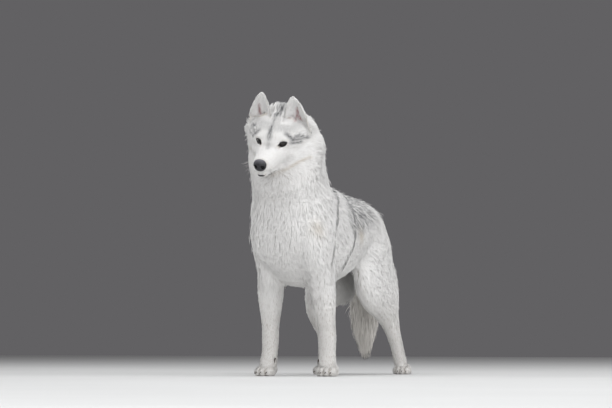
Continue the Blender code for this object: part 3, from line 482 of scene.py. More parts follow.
def makeSkin():
    forms = skullForms() + [loft("torso", torsoRows), loft("neck", neckRows)]
    for side in bothSides:
        forms += [loft("leg", rows[side], sides=20) for rows in (forelegRows, hindlegRows)]
    trunk = soften(joined(forms, "trunk"), voxel=0.0055, rounds=11, swell=0.0013, inset=bodyInset)
    forms = skullForms() + [loft("nape", neckRows[2:])]
    face = soften(joined(forms, "face"), voxel=0.0026, rounds=14, swell=0.0008, inset=headInset)
    core = loft("tail", tailRows[:-1] * np.repeat((1, body["tailCore"]), 3), sides=16)
    tail = soften(joined([core], "tail"), voxel=0.004, rounds=3, swell=0.0)
    paws = [pawForm(*place) for place in pawPlaces]
    skin = joined([trunk, face, tail, *paws, earForm(1), earForm(-1)], "skin")
    applyModifier(skin, "REMESH", mode="VOXEL", voxel_size=body["skinVoxel"])
    applyModifier(skin, "SMOOTH", factor=0.5, iterations=3)
    triangles = sum(len(face.vertices) - 2 for face in skin.data.polygons)
    applyModifier(skin, "DECIMATE", ratio=min(1, body["skinTriangles"] / triangles))
    points = pointsOf(skin)
    points -= normalsOf(skin) * (toeGaps(points) * paw["gapDepth"])[:, None]
    points[:, 2] = np.maximum(points[:, 2], paw["sole"])
    setPoints(skin, points)
    return skin


skin = makeSkin()
skinShape = BVHTree.FromPolygons([tuple(p) for p in pointsOf(skin)],
                                 [tuple(f.vertices) for f in skin.data.polygons])
print("skin shaped,", len(skin.data.polygons), "faces")


# Coat: guides give a place, the lie of the hair there in hundredths, its length, how far it stands
# off the skin and a tuft's width

def guideTable(*rows):
    return np.array(rows) / np.repeat((10000, 100, 10000), 3)


bodyGuides = guideTable(
    (0, 600, 6900, 0, 50, -100, 500, 145, 32),  # nape
    (1200, -300, 6400, 10, 25, -100, 460, 125, 30),  # side of the neck
    (700, 400, 6300, 10, 50, -100, 480, 145, 32),
    (0, -1350, 6100, 0, -10, -100, 440, 125, 31),  # throat
    (800, -1100, 5900, 10, 0, -100, 460, 115, 30),
    (0, -1550, 5200, 0, 0, -100, 480, 132, 30),  # ruff
    (900, -1100, 5000, 10, 10, -100, 480, 132, 30),
    (1200, -200, 5100, 10, 50, -100, 480, 132, 32),  # shoulder
    (0, -1400, 4300, 0, 10, -100, 440, 119, 30),  # breast
    (800, -1000, 4200, 0, 20, -100, 440, 119, 30),
    (0, -1000, 3300, 0, 70, -100, 400, 106, 30),
    (1100, -500, 3900, 0, 40, -100, 400, 99, 30),
    (0, 1300, 5900, 0, 100, -20, 440, 210, 30),  # withers
    (0, 2600, 5700, 0, 100, -10, 440, 200, 29),  # back
    (0, 3600, 5500, 0, 100, -20, 400, 160, 29),  # loin
    (0, 4300, 5200, 0, 100, -40, 400, 230, 30),  # croup
    (500, 4700, 4600, 0, 50, -100, 400, 86, 31),  # rump
    (800, 2000, 5400, 20, 100, -60, 420, 92, 31),
    (1400, 1000, 4500, 0, 80, -80, 420, 92, 30),  # ribs
    (1300, 2300, 4300, 0, 90, -80, 400, 86, 30),
    (1200, 1000, 3400, 0, 90, -70, 400, 92, 30),
    (0, 1200, 2800, 0, 100, -30, 400, 99, 30), (0, 2500, 3200, 0, 100, -30, 340, 79, 31),  # belly
    (1100, 3000, 4200, 0, 80, -90, 360, 79, 31),  # flank
    (1100, 3800, 4600, 0, 40, -100, 340, 79, 30),  # thigh
    (1200, 4000, 3600, 0, 30, -100, 300, 66, 28),
    (800, 4900, 3800, 0, 30, -100, 360, 90, 30),  # breech
    (1000, 5000, 3100, 0, 30, -100, 300, 72, 29),
    (1100, 3600, 3000, 0, 30, -100, 260, 58, 30),  # stifle
    (1200, 4500, 2600, 0, 40, -100, 200, 47, 29),
    (1100, 5100, 2300, 0, 30, -100, 200, 47, 28),
    (1100, 4900, 1900, 0, 20, -100, 140, 33, 25),  # hock
    (1000, 5200, 1100, 0, 10, -100, 110, 28, 22),
    (1100, 5100, 500, 0, -30, -100, 90, 23, 20),  # hind paw
    (1000, 4700, 250, 0, -100, -50, 80, 22, 18),
    (900, 3700, 1800, 0, 20, -100, 140, 33, 25),
    (900, 3800, 1000, 0, 10, -100, 110, 28, 22),
    (900, 3200, 300, 0, -100, -60, 80, 22, 18),
    (1300, -200, 3900, 0, 30, -100, 320, 73, 29),  # upper arm
    (900, 600, 3500, 0, 70, -100, 300, 66, 34),  # elbow
    (1000, -400, 3200, 0, 10, -100, 240, 55, 31),
    (1300, 100, 2600, 0, 5, -100, 180, 39, 27),  # forearm
    (1000, 450, 2500, 0, 40, -100, 240, 55, 28),
    (1200, 0, 1500, 0, 0, -100, 120, 31, 24), (1200, -100, 800, 0, 0, -100, 100, 27, 21),  # wrist
    (1000, -350, 300, 0, -100, -60, 80, 22, 18), (1000, 200, 300, 0, 20, -100, 90, 23, 20),  # front paw
)
faceGuides = guideTable(
    (0, -800, -220, 0, 100, 20, 60, 14, 12), (0, -500, -80, 0, 100, 30, 75, 18, 12),  # bridge of the nose
    (0, -150, 100, 0, 100, 70, 95, 28, 13),  # stop
    (0, 200, 350, 0, 100, 80, 130, 40, 14), (0, 600, 620, 0, 100, 60, 200, 95, 17),  # forehead
    (0, 900, 700, 0, 60, 100, 240, 290, 19), (220, -800, -450, 10, 100, -10, 60, 14, 12),  # between the ears
    (260, -700, -580, 20, 100, -50, 65, 16, 12),  # upper lip
    (340, -450, -400, 20, 100, -20, 75, 18, 12),
    (0, -750, -780, 0, 70, -70, 80, 26, 13), (200, -450, -780, 10, 100, -50, 100, 30, 14),  # chin
    (0, -100, -880, 0, 100, -60, 160, 60, 18),
    (400, -150, -350, 30, 100, -20, 95, 24, 13),  # cheek
    (360, -80, -160, 40, 100, -20, 70, 18, 12), (140, -60, 40, -10, 100, 90, 70, 18, 12),
    (560, 140, 20, 50, 100, 0, 90, 26, 13),
    (320, 40, 180, 20, 70, 80, 80, 24, 12), (500, 250, 340, 30, 100, 40, 120, 36, 14),  # brow
    (750, 400, 200, 40, 100, 0, 160, 55, 17), (650, 150, -300, 40, 100, -40, 140, 45, 15),  # temple
    (500, -50, -650, 20, 100, -60, 150, 50, 17),
    (850, 500, -300, 30, 90, -70, 230, 76, 20), (700, 400, -750, 20, 80, -80, 250, 85, 22),
    (300, 400, -950, 0, 80, -90, 280, 93, 26),
    (1050, 850, -200, 30, 70, -90, 320, 185, 26),  # behind the cheek
    (1000, 800, 200, 30, 90, -40, 280, 130, 22),
    (950, 1000, 450, 30, 90, -60, 300, 119, 26),
    (500, 1300, 500, 10, 90, -70, 360, 145, 31), (0, 1350, 550, 0, 100, -50, 360, 145, 31),  # back of the head
    (600, 600, 500, 20, 100, 20, 140, 45, 15),
)
# on the right of the head only, where the ruff opens as the head turns
rightGuides = guideTable(
    (-1000, 700, 120, -50, 90, -30, 300, 250, 22),
    (-1060, 750, -120, -50, 90, -50, 300, 220, 22),
    (-980, 720, 420, -30, 90, -30, 220, 70, 20),
    (-280, 860, 660, 0, 50, 100, 240, 310, 19), (-140, 900, 680, 0, 50, 100, 240, 300, 19),
)
groinGuides = guideTable((-300, 4500, 3050, 40, 40, -100, 420, 340, 28))
guideSets = (  # with the place they are in, whether they are mirrored and how far they reach
    (bodyGuides, Matrix(), True, 0.030),
    (faceGuides, headTurn, True, 0.010),
    (rightGuides, headTurn, False, 0.010),
    (groinGuides, Matrix(), False, 0.016),
)
tuft = {
    "spacing": 1.22,       # distance between roots, in tuft widths
    "quickSpacing": 3.0,
    "sink": 0.0015,
    "clumpSize": 5.0,      # distance between clumps, in tuft widths
    "clumpPull": 0.25,
    "lengths": (0.78, 1.15),
    "rises": (0.82, 1.08),
    "widths": (0.85, 1.25),
    "sway": 0.16,
    "stray": 0.035,
    "strayRise": 0.024,
    "thickness": 0.26,     # share of the width
    "softness": 0.80,      # how far its shading follows the skin below
    "patch": 0.003,        # size of a tuft on the bake map
    "lowest": 0.0007,
    "long": 0.016,         # from this length a tuft has more rings
}


def allGuides():
    rows = []
    for guides, turn, mirror, reach in guideSets:
        for guide in guides:
            for side in (bothSides if mirror and guide[0] else (1,)):
                place, lie = guide[:3] * (side, 1, 1), guide[3:6] * (side, 1, 1)
                rows.append((*moved(turn, [place])[0], *turned(turn, [lie])[0], *guide[6:], reach))
    return np.array(rows)


def coatAt(points):
    # blends the nearest guides: lie, length, rise and width at each point
    guides = allGuides()
    lies = unit(guides[:, 3:6])
    out = np.empty((len(points), 6))
    batch = 20000
    for start in range(0, len(points), batch):
        p = points[start:start + batch]
        away = ((p[:, None, :] - guides[None, :, :3]) ** 2).sum(axis=2)
        weight = 1 / (away + guides[:, 9] ** 2 * 0.3) ** 2.5
        weight /= weight.sum(axis=1, keepdims=True)
        out[start:start + len(p), :3] = weight @ lies
        out[start:start + len(p), 3:] = np.exp(weight @ np.log(guides[:, 6:9]))
    return out


def earPlace(points, side):
    # place in the ear's own frame, and whether it is on the ear
    q = moved(earTurn(side).inverted(), points)
    x, y, z = q.T
    return q, ((z > 0.004) & (z < ear["height"] + 0.006) & (np.abs(x) < ear["halfWidth"] + 0.006)
               & (y > -ear["cup"] * 1.6) & (y < 0.016))


def tailShare(points):
    # 1 on the brush of the tail, 0 elsewhere
    rows = tailRows[::-1]
    x, y = (np.interp(points[:, 2], rows[:, 2], rows[:, k]) for k in (0, 1))
    away = np.hypot(points[:, 0] - x, points[:, 1] - y)
    return ramp(-away, -0.050, -0.042) * ramp(-points[:, 2], -0.46, -0.41)


# Markings and painted shade, the same on the skin and on the coat; a stroke is its points, width and strength

def strokeTable(*strokes):
    return [(metres(line), width / 10000, strength) for line, width, strength in strokes]


faceStrokes = strokeTable(
    ([(-30, 660, 660), (-55, 500, 600), (-65, 360, 520), (-70, 215, 430)], 75, 0.72),
    ([(-70, 215, 430), (-60, 40, 300), (-35, -80, 180)], 84, 0.92),
    ([(-35, -80, 180), (-20, -220, 60), (-10, -340, 0)], 75, 0.4),
    ([(-200, 680, 640), (-140, 850, 700), (-80, 1050, 720)], 54, 1.18),
    ([(-100, 580, 630), (-120, 750, 690), (-170, 920, 710)], 51, 1.03),
    ([(-10, 600, 650), (0, 820, 710), (30, 1050, 730)], 59, 1.2),
    ([(70, 640, 650), (100, 850, 700), (120, 1050, 720)], 54, 1.2),
    ([(130, 480, 580), (140, 600, 630)], 45, 0.68),
    ([(407, 112, 289), (514, 120, 236), (594, 120, 151), (661, 149, 85)], 68, 1.1),
    ([(661, 149, 145), (774, 278, 180), (881, 422, 160)], 59, 0.83),
    ([(680, 174, 90), (774, 278, 100), (881, 422, 108), (983, 626, 51)], 54, 0.96),
    ([(594, 73, 18), (712, 184, 5), (845, 342, -11)], 42, 1.03),
    ([(-461, 143, 294), (-532, 116, 235), (-600, 130, 180)], 72, 0.96),
    ([(-637, 139, 113), (-660, 160, 60)], 54, 0.9),
    ([(-700, 200, 200), (-740, 300, 300)], 63, 0.68),
    ([(-765, 389, 377), (-660, 306, 389)], 68, 0.83))
earStrokes = {  # bare reddish skin in each cup
    1: strokeTable(
        ([(560, 750, 860), (565, 750, 730), (545, 671, 570), (520, 620, 500)], 51, 1),
        ([(559, 750, 730), (600, 745, 630), (660, 753, 530)], 51, 1),
        ([(600, 745, 630), (732, 665, 497)], 41, 0.85),
        ([(347, 589, 619), (420, 640, 640), (500, 700, 720)], 35, 0.5)),
    -1: strokeTable(
        ([(-654, 760, 840), (-638, 758, 675)], 49, 0.9),
        ([(-638, 758, 675), (-613, 687, 570)], 59, 1)),
}
browLine = strokeTable(
    ([(-761, 697, 489), (-492, 619, 599), (-261, 686, 668)], 20, 0.85),
    ([(250, 600, 640), (347, 589, 600), (480, 620, 560)], 18, 0.45))
# the shade line under the edge of the cheek: painted as a beige-grey shadow, and the hair below it lies flatter
jawLine = strokeTable(
    ([(80, -210, -996), (330, -169, -849), (599, -73, -709), (853, 123, -547), (1110, 400, -479)], 34, 1))
# the partings behind the shoulder: painted dark, partly the dog's own dark hair and partly the shadow of the gap in
# the coat
bodyStrokes = strokeTable(
    ([(550, 1100, 5700), (971, 762, 5407), (1198, 401, 5142), (1299, 216, 4920), (1360, 85, 4642)], 26, 1),
    ([(1360, 85, 4642), (1383, 3, 4247), (1334, 33, 3797), (1298, -98, 3433)], 24, 0.42),
    ([(500, 2050, 5700), (844, 1663, 5483), (1103, 1410, 5281), (1268, 1350, 5030), (1396, 1223, 4685)], 28, 0.95),
    ([(1396, 1223, 4685), (1428, 1191, 4317), (1410, 1123, 3950), (1333, 1002, 3643), (1167, 925, 3308)], 24, 0.72))
greyPatches = [  # mottled: place and radii in the head's own place, then strength
    ((0.0820, 0.034, 0.0150), (0.028, 0.040, 0.0170), 0.85),
    ((-0.0700, 0.030, 0.0240), (0.028, 0.036, 0.0240), 0.85),
    ((0.0450, 0.022, 0.0360), (0.022, 0.022, 0.0120), 0.40),
    ((-0.0080, 0.040, 0.0500), (0.022, 0.050, 0.0300), 0.40),
]
marks = {
    "cap": ((0.0, 0.050, 0.046), (0.092, 0.052, 0.040), 0.30),
    "browSpot": ((0.030, 0.004, 0.021), 0.010),
    "saddleStrength": 0.95,
    "saddleFront": ((0.33, 0.365, 0.395, 0.432, 0.4685, 0.503, 0.528, 0.548, 0.58),
                    (0.092, 0.100, 0.108, 0.098, 0.086, 0.100, 0.125, 0.150, 0.18)),  # z, then y
    "mottle": 0.0042,        # size of the spots in the grey patches
    "tans": (((0.106, -0.077, 0.438), 0.022, 0.42), ((0.137, 0.177, 0.425), 0.020, 0.80)),
    "legTan": 0.08,
    # painted shade in the grooves between the toes, grey and tan
    "toeShadeGrey": 0.45,
    "toeShadeTan": 0.35,
    # strength of the painted shadow along the jaw line
    "jawShadow": 0.5,
}


def layOnSkin(line, turn=Matrix()):
    # the stroke's points brought down to the skin
    return np.array([skinShape.find_nearest(turn @ Vector(p))[0] for p in smoothRows(line, 3)])


def strokeShade(points, strokes, turn=Matrix(), mirror=False):
    shade = np.zeros(len(points))
    for line, width, strength in strokes:
        for side in (bothSides if mirror else (1,)):
            path = layOnSkin(line * (side, 1, 1), turn)
            close = np.flatnonzero((points > path.min(axis=0) - 3 * width).all(axis=1)
                                   & (points < path.max(axis=0) + 3 * width).all(axis=1))
            away = distanceTo(points[close], path)[0]
            shade[close] = np.maximum(shade[close], strength * bell(away, width))
    return shade


def partingLine(points):
    # distance to the nearest parting, the way it runs there and how dark it is painted: dark hair with the shadow
    # of the gap
    away, way, dark = np.ones(len(points)), np.zeros((len(points), 3)), np.zeros(len(points))
    for line, _, strength in bodyStrokes:
        for side in bothSides:
            path = layOnSkin(line * (side, 1, 1))
            here, part, _ = distanceTo(points, path)
            closer = here < away
            away[closer], dark[closer] = here[closer], strength
            way[closer] = unit(np.diff(path, axis=0))[part[closer]]
    return away, way, dark


def grainAt(points, size):
    return np.array([noise.noise(Vector(p) / size) for p in points])


def patchShare(q, centre, radii, soft):
    return ramp(-(((q - centre) / radii) ** 2).sum(axis=1), -1.0, soft)


# strength along the jaw line, where the shadow is painted and the hair lies flatter
def jawShade(points):
    return strokeShade(points, jawLine, headTurn, mirror=True)


def markings(points, normals):
    # grey, speckle, tan and pink shares of the colour at each point; the grey and tan shares also hold painted
    # shade
    q = moved(intoHead, points)
    onHead = ramp(heightOver(points, body["headPlane"]), -0.04, 0.0)
    onEar, pink, spots = np.zeros((3, len(points)))
    for side in bothSides:
        e, on = earPlace(points, side)
        onEar = np.maximum(onEar, on * ramp(e[:, 2], 0.0, 0.012))
        inside = on * ramp(-turned(earTurn(side).inverted(), normals)[:, 1], 0.0, 0.4)
        pink = np.maximum(pink, inside * strokeShade(points, earStrokes[side], headTurn))
    reddish = np.flatnonzero(pink > 0.02)
    uneven = grainAt(q[reddish] * (1, 1, 0.5), marks["mottle"] * 0.6)
    pink[reddish] *= 0.35 + 0.65 * ramp(uneven, -0.25, 0.10)

    centre, radii, strength = marks["cap"]
    greyAndShade = strength * patchShare(q, centre, radii, -0.45)
    headPoints = np.flatnonzero((onHead > 0) & (q[:, 1] < 0.12))
    spots[headPoints] = grainAt(q[headPoints] * (1, 0.5, 1), marks["mottle"])
    for centre, radii, strength in greyPatches:
        patch = patchShare(q, centre, radii, -0.1)
        greyAndShade = np.maximum(greyAndShade, strength * patch * ramp(spots, -0.25, 0.30))
    greyAndShade = np.maximum(greyAndShade, strokeShade(points, faceStrokes, headTurn) * (0.85 + 0.6 * spots))
    greyAndShade = np.clip(greyAndShade, 0, 1) * onHead * (1 - onEar)
    spot, size = marks["browSpot"]
    for side in bothSides:
        away = np.linalg.norm(q - np.array(spot) * (side, 1, 1), axis=1)
        greyAndShade *= 1 - 0.8 * bell(away, size)

    y, z = points[:, 1:].T
    behind = y - np.interp(z, *marks["saddleFront"])
    saddle = ramp(behind, 0.0, 0.012) * ramp(-y, -0.40, -0.30) * ramp(z, 0.40, 0.46)
    saddle *= ramp(z - 0.40 - 0.32 * np.clip(y - 0.15, 0, 1), 0.0, 0.04)
    speckle = marks["saddleStrength"] * saddle * (1 - onHead)

    # painted shade: grey and tan along the grooves between the toes
    between = toeGaps(points)
    greyAndShade = np.maximum(greyAndShade, marks["toeShadeGrey"] * between)
    # the tan share: stains and tan lines of the coat, with the painted shadow along the jaw line and between the
    # toes
    tans = [strength * bell(np.linalg.norm(points - place, axis=1), size)
            for place, size, strength in marks["tans"]]
    tanAndShade = np.maximum.reduce([*tans, marks["legTan"] * ramp(-z, -0.30, -0.12), marks["toeShadeTan"] * between,
                             marks["jawShadow"] * jawShade(points), strokeShade(points, browLine, headTurn)])
    return greyAndShade, speckle, tanAndShade, pink


# The skin's own features: eye sockets, the mouth's crease and the seat of the nose

nose = {
    "at": Vector((0.0, -0.0985, -0.0370)),
    "size": np.array((0.0445, 0.026, 0.0365)),
    "narrowing": (0.72, 0.9, 1),   # of its lower half
    "nostril": (0.0105, -0.0026),
    "nostrilRadii": (0.0049, 0.0050),
    "slitEnd": (0.0195, -0.0066),
    "slitWidth": 0.0015,
    "nostrilDepth": 0.0085,
    "wing": (0.0135, 0.0028),
    "wingRadii": (0.0055, 0.005),
    "wingRise": 0.0010,
    "grooveWidth": 0.0009,
    "grooveDepth": 0.0011,
    "rounding": 1.22,
    "seat": (0.0, -0.0345),        # no hair grows round it
    "seatRadii": (0.0195, 0.0150),
}
lip = {"radius": 0.0026, "middle": 0.17, "thin": 0.16, "crease": 0.0022, "stand": 0.0006,
       "aim": Vector((0, 0.92, -0.39)), "bare": 0.0016, "bareFront": 0.0040}
mouthLine = metres([
    (0, -940, -715), (85, -925, -705), (140, -880, -675), (245, -720, -630), (290, -450, -595),
    (340, -180, -600), (400, 40, -540)])


def insideAlmond(x, z, grow=0.0):
    # the opening between the lids, in the eye's own place
    width, height = eye["opening"]
    half, rise = width / 2 + grow, height / 2 + grow
    pinch = 1 - eye["cornerPinch"] * np.clip(x / half, -1, 1) ** 2
    return (np.abs(x) < half) & (np.abs(z) < rise * np.sqrt(np.clip(1 - (x / half) ** 2, 0, 1)) * pinch)


def toMouth(q, stretch):
    # distance to the line of the mouth, both sides of it
    line = smoothRows(mouthLine, 4)
    return np.minimum(*(distanceTo(q, line * (side, 1, 1), stretch)[0] for side in bothSides))


def carveFace():
    # finer faces round the eyes and the mouth, then pushed in
    points = pointsOf(skin)
    y, z = moved(intoHead, points)[:, 1:].T
    fine = (y < -0.055) & (z < -0.045) & (z > -0.080)
    for side in bothSides:
        fine |= np.linalg.norm(intoEye(side, points), axis=1) < eye["reach"]
    pick(skin)
    bpy.context.tool_settings.mesh_select_mode = (True, False, False)
    skin.data.vertices.foreach_set("select", fine)
    bpy.ops.object.mode_set(mode="EDIT")
    bpy.ops.mesh.subdivide(number_cuts=1, smoothness=0.5)
    bpy.ops.object.mode_set(mode="OBJECT")
    points = pointsOf(skin)
    for side in bothSides:
        e = intoEye(side, points)
        hole = insideAlmond(e[:, 0], e[:, 2], 0.0004) & (e[:, 1] < 0.0) & (e[:, 1] > -0.03)
        e[hole, 1] = np.maximum(e[hole, 1], 0.0020)
        points[hole] = moved(eyeTurn(side), e[hole])
    setPoints(skin, points)
    crease = lip["crease"] * bell(toMouth(moved(intoHead, points), (0.5, 0.5, 1)), lip["crease"])
    setPoints(skin, points - normalsOf(skin) * crease[:, None])


def intoEye(side, points):
    return moved(eyeTurn(side).inverted(), points)


def cord(name, turn, line, ahead, across, wide, high, closed=False):
    # a soft cord along the line, of the half width and half height given at each point
    around = 8
    out = unit(np.cross(unit(ahead), across))
    top = unit(np.cross(out, unit(ahead)))
    angles = np.arange(around) * 2 * math.pi / around
    points = [line + out * (math.cos(a) * wide)[:, None] + top * (math.sin(a) * high)[:, None] for a in angles]
    points = np.stack(points, axis=1).reshape(-1, 3)
    return faceOutward(meshObject(name, moved(turn, points), tubeFaces(len(line), around, closed)))


def socketDepth(side, x, z):
    # the skin's height over the eye's middle plane, read before the sockets are pushed in
    turn = eyeTurn(side)
    hit = skinShape.ray_cast(turn @ Vector((x, -0.06, z)), turn.to_3x3() @ Vector((0, 1, 0)))[0]
    return (turn.inverted() @ hit).y if hit else 0.0


def makeLids(side):
    # black rims that follow the opening, drawn out at the inner corner
    count, grow = 48, 0.0006
    width, height = eye["opening"]
    shares = np.arange(count) / count
    x, z = width / 2 * np.cos(2 * math.pi * shares), height / 2 * np.sin(2 * math.pi * shares)
    z *= 1 - eye["cornerPinch"] * (x / (width / 2)) ** 2
    x, z = x * (1 + 2 * grow / width), z * (1 + 2 * grow / height)
    ball = -np.sqrt(np.clip((eye["radius"] + 0.0008) ** 2 - 0.72 * x ** 2 - 0.72 * z ** 2, 0.000016, 1))
    y = np.array([min(socketDepth(side, a, b) + 0.0006, c) for a, b, c in zip(x, z, ball)])
    for _ in range(4):
        y = (np.roll(y, 1) + 2 * y + np.roll(y, -1)) / 4
    away = np.abs(shares - (0.5 if side > 0 else 0.0))
    inner = bell(np.minimum(away, 1 - away), 0.055)
    out, down = eye["corner"]
    line = np.stack([x - side * out * inner, y - eye["cornerSink"] * inner, z - down * inner], axis=1)
    return cord("lids", eyeTurn(side), line, np.roll(line, -1, axis=0) - np.roll(line, 1, axis=0),
                (0.0, 1.0, 0.0), eye["rimWidth"] / 2 * (1.2 + 0.5 * inner),
                np.full(count, eye["rimWidth"] / 2 * 0.8), closed=True)


def makeLips():
    # the dark edge of the lips under the nose, thinning towards the corners
    line = smoothRows(mouthLine, 5)
    whole = np.vstack([line[:0:-1] * (-1, 1, 1), line])
    share = np.abs(np.linspace(-1, 1, len(whole)))
    placed = []
    for p in whole:
        way = headTurn.to_3x3() @ lip["aim"]
        hit, normal = skinShape.ray_cast(headTurn @ Vector(p) - way * 0.03, way)[:2]
        if hit is None or p[1] > -0.08:
            hit, normal = skinShape.find_nearest(headTurn @ Vector(p))[:2]
        placed.append(intoHead @ (hit + normal * lip["stand"]))
    placed = np.array(placed)
    for _ in range(3):
        placed[1:-1] = (placed[:-2] + 2 * placed[1:-1] + placed[2:]) / 4
    size = lip["radius"] * (lip["thin"] + (1 - lip["thin"]) * np.exp(-(share / lip["middle"]) ** 4))
    size = np.maximum(size * ramp(-share, -1.0, -0.94), 0.0001)
    return cord("lips", headTurn, placed, np.gradient(placed, axis=0), (0.0, 0.0, 1.0), size, size)


def makeEye(side):
    obj = primitive("eyeballLeft" if side > 0 else "eyeballRight", bpy.ops.mesh.primitive_uv_sphere_add,
                    segments=48, ring_count=40, radius=eye["radius"])
    points = pointsOf(obj)
    away = np.hypot(points[:, 0], points[:, 1])
    front = points[:, 2] > 0
    points[front, 2] += eye["cornea"] * bell(away[front], eye["irisRadius"])
    setPoints(obj, points)
    setFloat(obj, "fromPupil", np.where(front, away, eye["radius"]))
    obj.data.transform(eyeTurn(side) @ rotated(-side * eye["gaze"], "Z") @ rotated(math.radians(90), "X"))
    obj.data.shade_smooth()
    return obj


def makeNose():
    # a rounded block with two nostrils, a slit beside each, swollen wings and a groove
    obj = primitive("noseLeather", bpy.ops.mesh.primitive_cube_add, size=1)
    points = pointsOf(obj)
    points[points[:, 2] < 0] *= nose["narrowing"]
    setPoints(obj, points * nose["size"] * nose["rounding"])
    applyModifier(obj, "SUBSURF", levels=6, render_levels=6)
    points, normals = pointsOf(obj), normalsOf(obj)
    flat = points[:, ::2]
    push, nostrilShade = np.zeros((len(points), 3)), np.zeros(len(points))
    for side in bothSides:
        centre, end, wing = (np.array(nose[key]) * (side, 1) for key in ("nostril", "slitEnd", "wing"))
        hole = np.exp(-(((flat - centre) / nose["nostrilRadii"]) ** 2).sum(axis=1) ** 2)
        away, _, share = distanceTo(flat, np.array((centre, end)))
        slit = bell(away, nose["slitWidth"]) * (1 - 0.5 * share)
        opening = np.maximum(hole, 0.75 * slit) * ramp(-normals[:, 1], -0.45, 0.1)
        push[:, 1] += opening * nose["nostrilDepth"]
        # painted shade: the inside of each opening is marked to be coloured near black
        nostrilShade = np.maximum(nostrilShade, ramp(opening, 0.12, 0.5))
        swell = np.exp(-(((flat - wing) / nose["wingRadii"]) ** 2).sum(axis=1))
        push += normals * (swell * nose["wingRise"] * (1 - hole))[:, None]
    facing = ramp(-normals[:, 1], -0.1, 0.4) * ramp(-flat[:, 1], -0.006, 0.0)
    push[:, 1] += bell(flat[:, 0], nose["grooveWidth"]) * nose["grooveDepth"] * facing
    setPoints(obj, points + push)
    setFloat(obj, "nostril", nostrilShade)
    obj.data.transform(headTurn @ Matrix.Translation(nose["at"]))
    obj.data.shade_smooth()
    return obj


claw = {
    "length": 0.0135,
    "radius": 0.0034,
    "flatness": 0.72,
    "drop": 0.0055,
    "root": Vector((0, -0.0135, 0.0130)),
    "start": -0.45,
    "dewclaws": ((0.0755, -0.008, 0.046), (-0.0635, -0.023, 0.050)),
    "dewclawTurn": math.radians(62),
    "dewclawSize": 0.8,
}


def makeHorn(place):
    rings, around = 9, 12
    points = []
    for t in np.linspace(claw["start"], 0.97, rings):
        size = claw["radius"] * (1 - 0.80 * max(t, 0) ** 1.2)
        for a in np.arange(around) * 2 * math.pi / around:
            points.append((claw["flatness"] * size * math.cos(a), -claw["length"] * t,
                           size * math.sin(a) - claw["drop"] * t * t))
    horn = meshObject("claw", points, tubeFaces(rings, around))
    horn.data.transform(place)
    return horn


def makeClaws():
    turn = rotated(claw["dewclawTurn"], "X") @ Matrix.Scale(claw["dewclawSize"], 4)
    places = [Matrix.Translation(place) @ turn for place in claw["dewclaws"]]
    places += [pawTurn(*place) @ Matrix.Translation(Vector((x, y, 0)) + claw["root"])
               @ rotated(paw["splay"] * x, "Z") for place in pawPlaces for x, y in paw["toes"]]
    return faceOutward(joined([makeHorn(place) for place in places], "claws"))


whisker = {"count": 11, "length": (0.030, 0.062), "radius": 0.00042, "first": (0.024, -0.083, -0.043),
           "column": (0.002, 0.011, 0), "row": (0, 0.003, -0.007), "bend": np.array((0, 0.25, -0.30)),
           "corners": (0, 2.094, 4.189)}


def makeWhiskers():
    made = []
    for side in bothSides:
        for k in range(whisker["count"]):
            row, column = divmod(k, 4)
            at = np.array(whisker["first"]) + np.array(whisker["column"]) * column + np.array(whisker["row"]) * row
            at = (at + (0, 0, 0.002 * dice.random())) * (side, 1, 1)
            hit, normal = skinShape.find_nearest(headTurn @ Vector(at))[:2]
            root, n = np.array(intoHead @ hit), turned(intoHead, [normal])[0]
            way = unit(n * 0.9 + np.array((side * 0.55, 0.15 + 0.25 * dice.random(), -0.15 - 0.35 * dice.random())))
            length = dice.uniform(*whisker["length"])
            across = unit(np.cross(way, (0, 0, 1.0)))
            up = np.cross(across, way)
            points = []
            for t in np.linspace(0, 1, 7):
                centre = root - n * 0.001 + way * length * t + whisker["bend"] * length * t * t
                size = whisker["radius"] * (1 - 0.9 * t)
                for a in whisker["corners"]:
                    points.append(centre + across * size * math.cos(a) + up * size * math.sin(a))
            made.append(meshObject("whisker", moved(headTurn, points), tubeFaces(7, 3)))
    return faceOutward(joined(made, "whiskers"))


lids = joined([makeLids(1), makeLids(-1)], "eyelids")
lips = makeLips()
whiskers = makeWhiskers()
carveFace()
eyeballs = {side: makeEye(side) for side in bothSides}
noseLeather = makeNose()
claws = makeClaws()
skin.data.uv_layers.new(name="OFBake")
editWhole(skin, bpy.ops.uv.smart_project, angle_limit=1.15, island_margin=0.002)
skin.data.shade_smooth()
greyAndShade, speckle, tanAndShade, pink = markings(pointsOf(skin), normalsOf(skin))
# the partings painted on the skin too: dark hair and the painted shadow of the gap
greyAndShade = np.maximum(greyAndShade, strokeShade(pointsOf(skin), bodyStrokes, mirror=True))
setFloat(skin, "greyAndShade", np.maximum(greyAndShade, speckle * 0.5))
setFloat(skin, "tanAndShade", tanAndShade)
setFloat(skin, "pink", pink)
print("face carved, eyes, nose, lips, claws and whiskers made")


# Growing the coat: solid tufts that follow the skin

# the brush of the tail is tinted beige-grey: partly its own grey, partly painted shade, as it hangs in shadow
brush = {"tip": (-0.024, 0.530, 0.042), "spread": 0.0045, "tanAndShade": 0.24, "greyAndShade": 0.10,
         "size": (0.072, 0.019, 0.0034), "shortest": 0.012}
earHair = {"outer": ((0.0125, -0.0035), 0.0022, 0.0015), "inner": ((0.0150, -0.0060), 0.0042, 0.0013)}
pepperHair = {"grain": 0.0034, "edges": (-0.10, 0.04)}
partingHair = {"reach": 0.0019, "length": 0.022, "rise": 1.30, "width": 0.0020, "lift": 0.55}
longRings = ((0.0, 0.70), (0.34, 1.0), (0.70, 0.66))   # share of the length, share of the width
shortRings = ((0.0, 0.85), (0.52, 0.85))


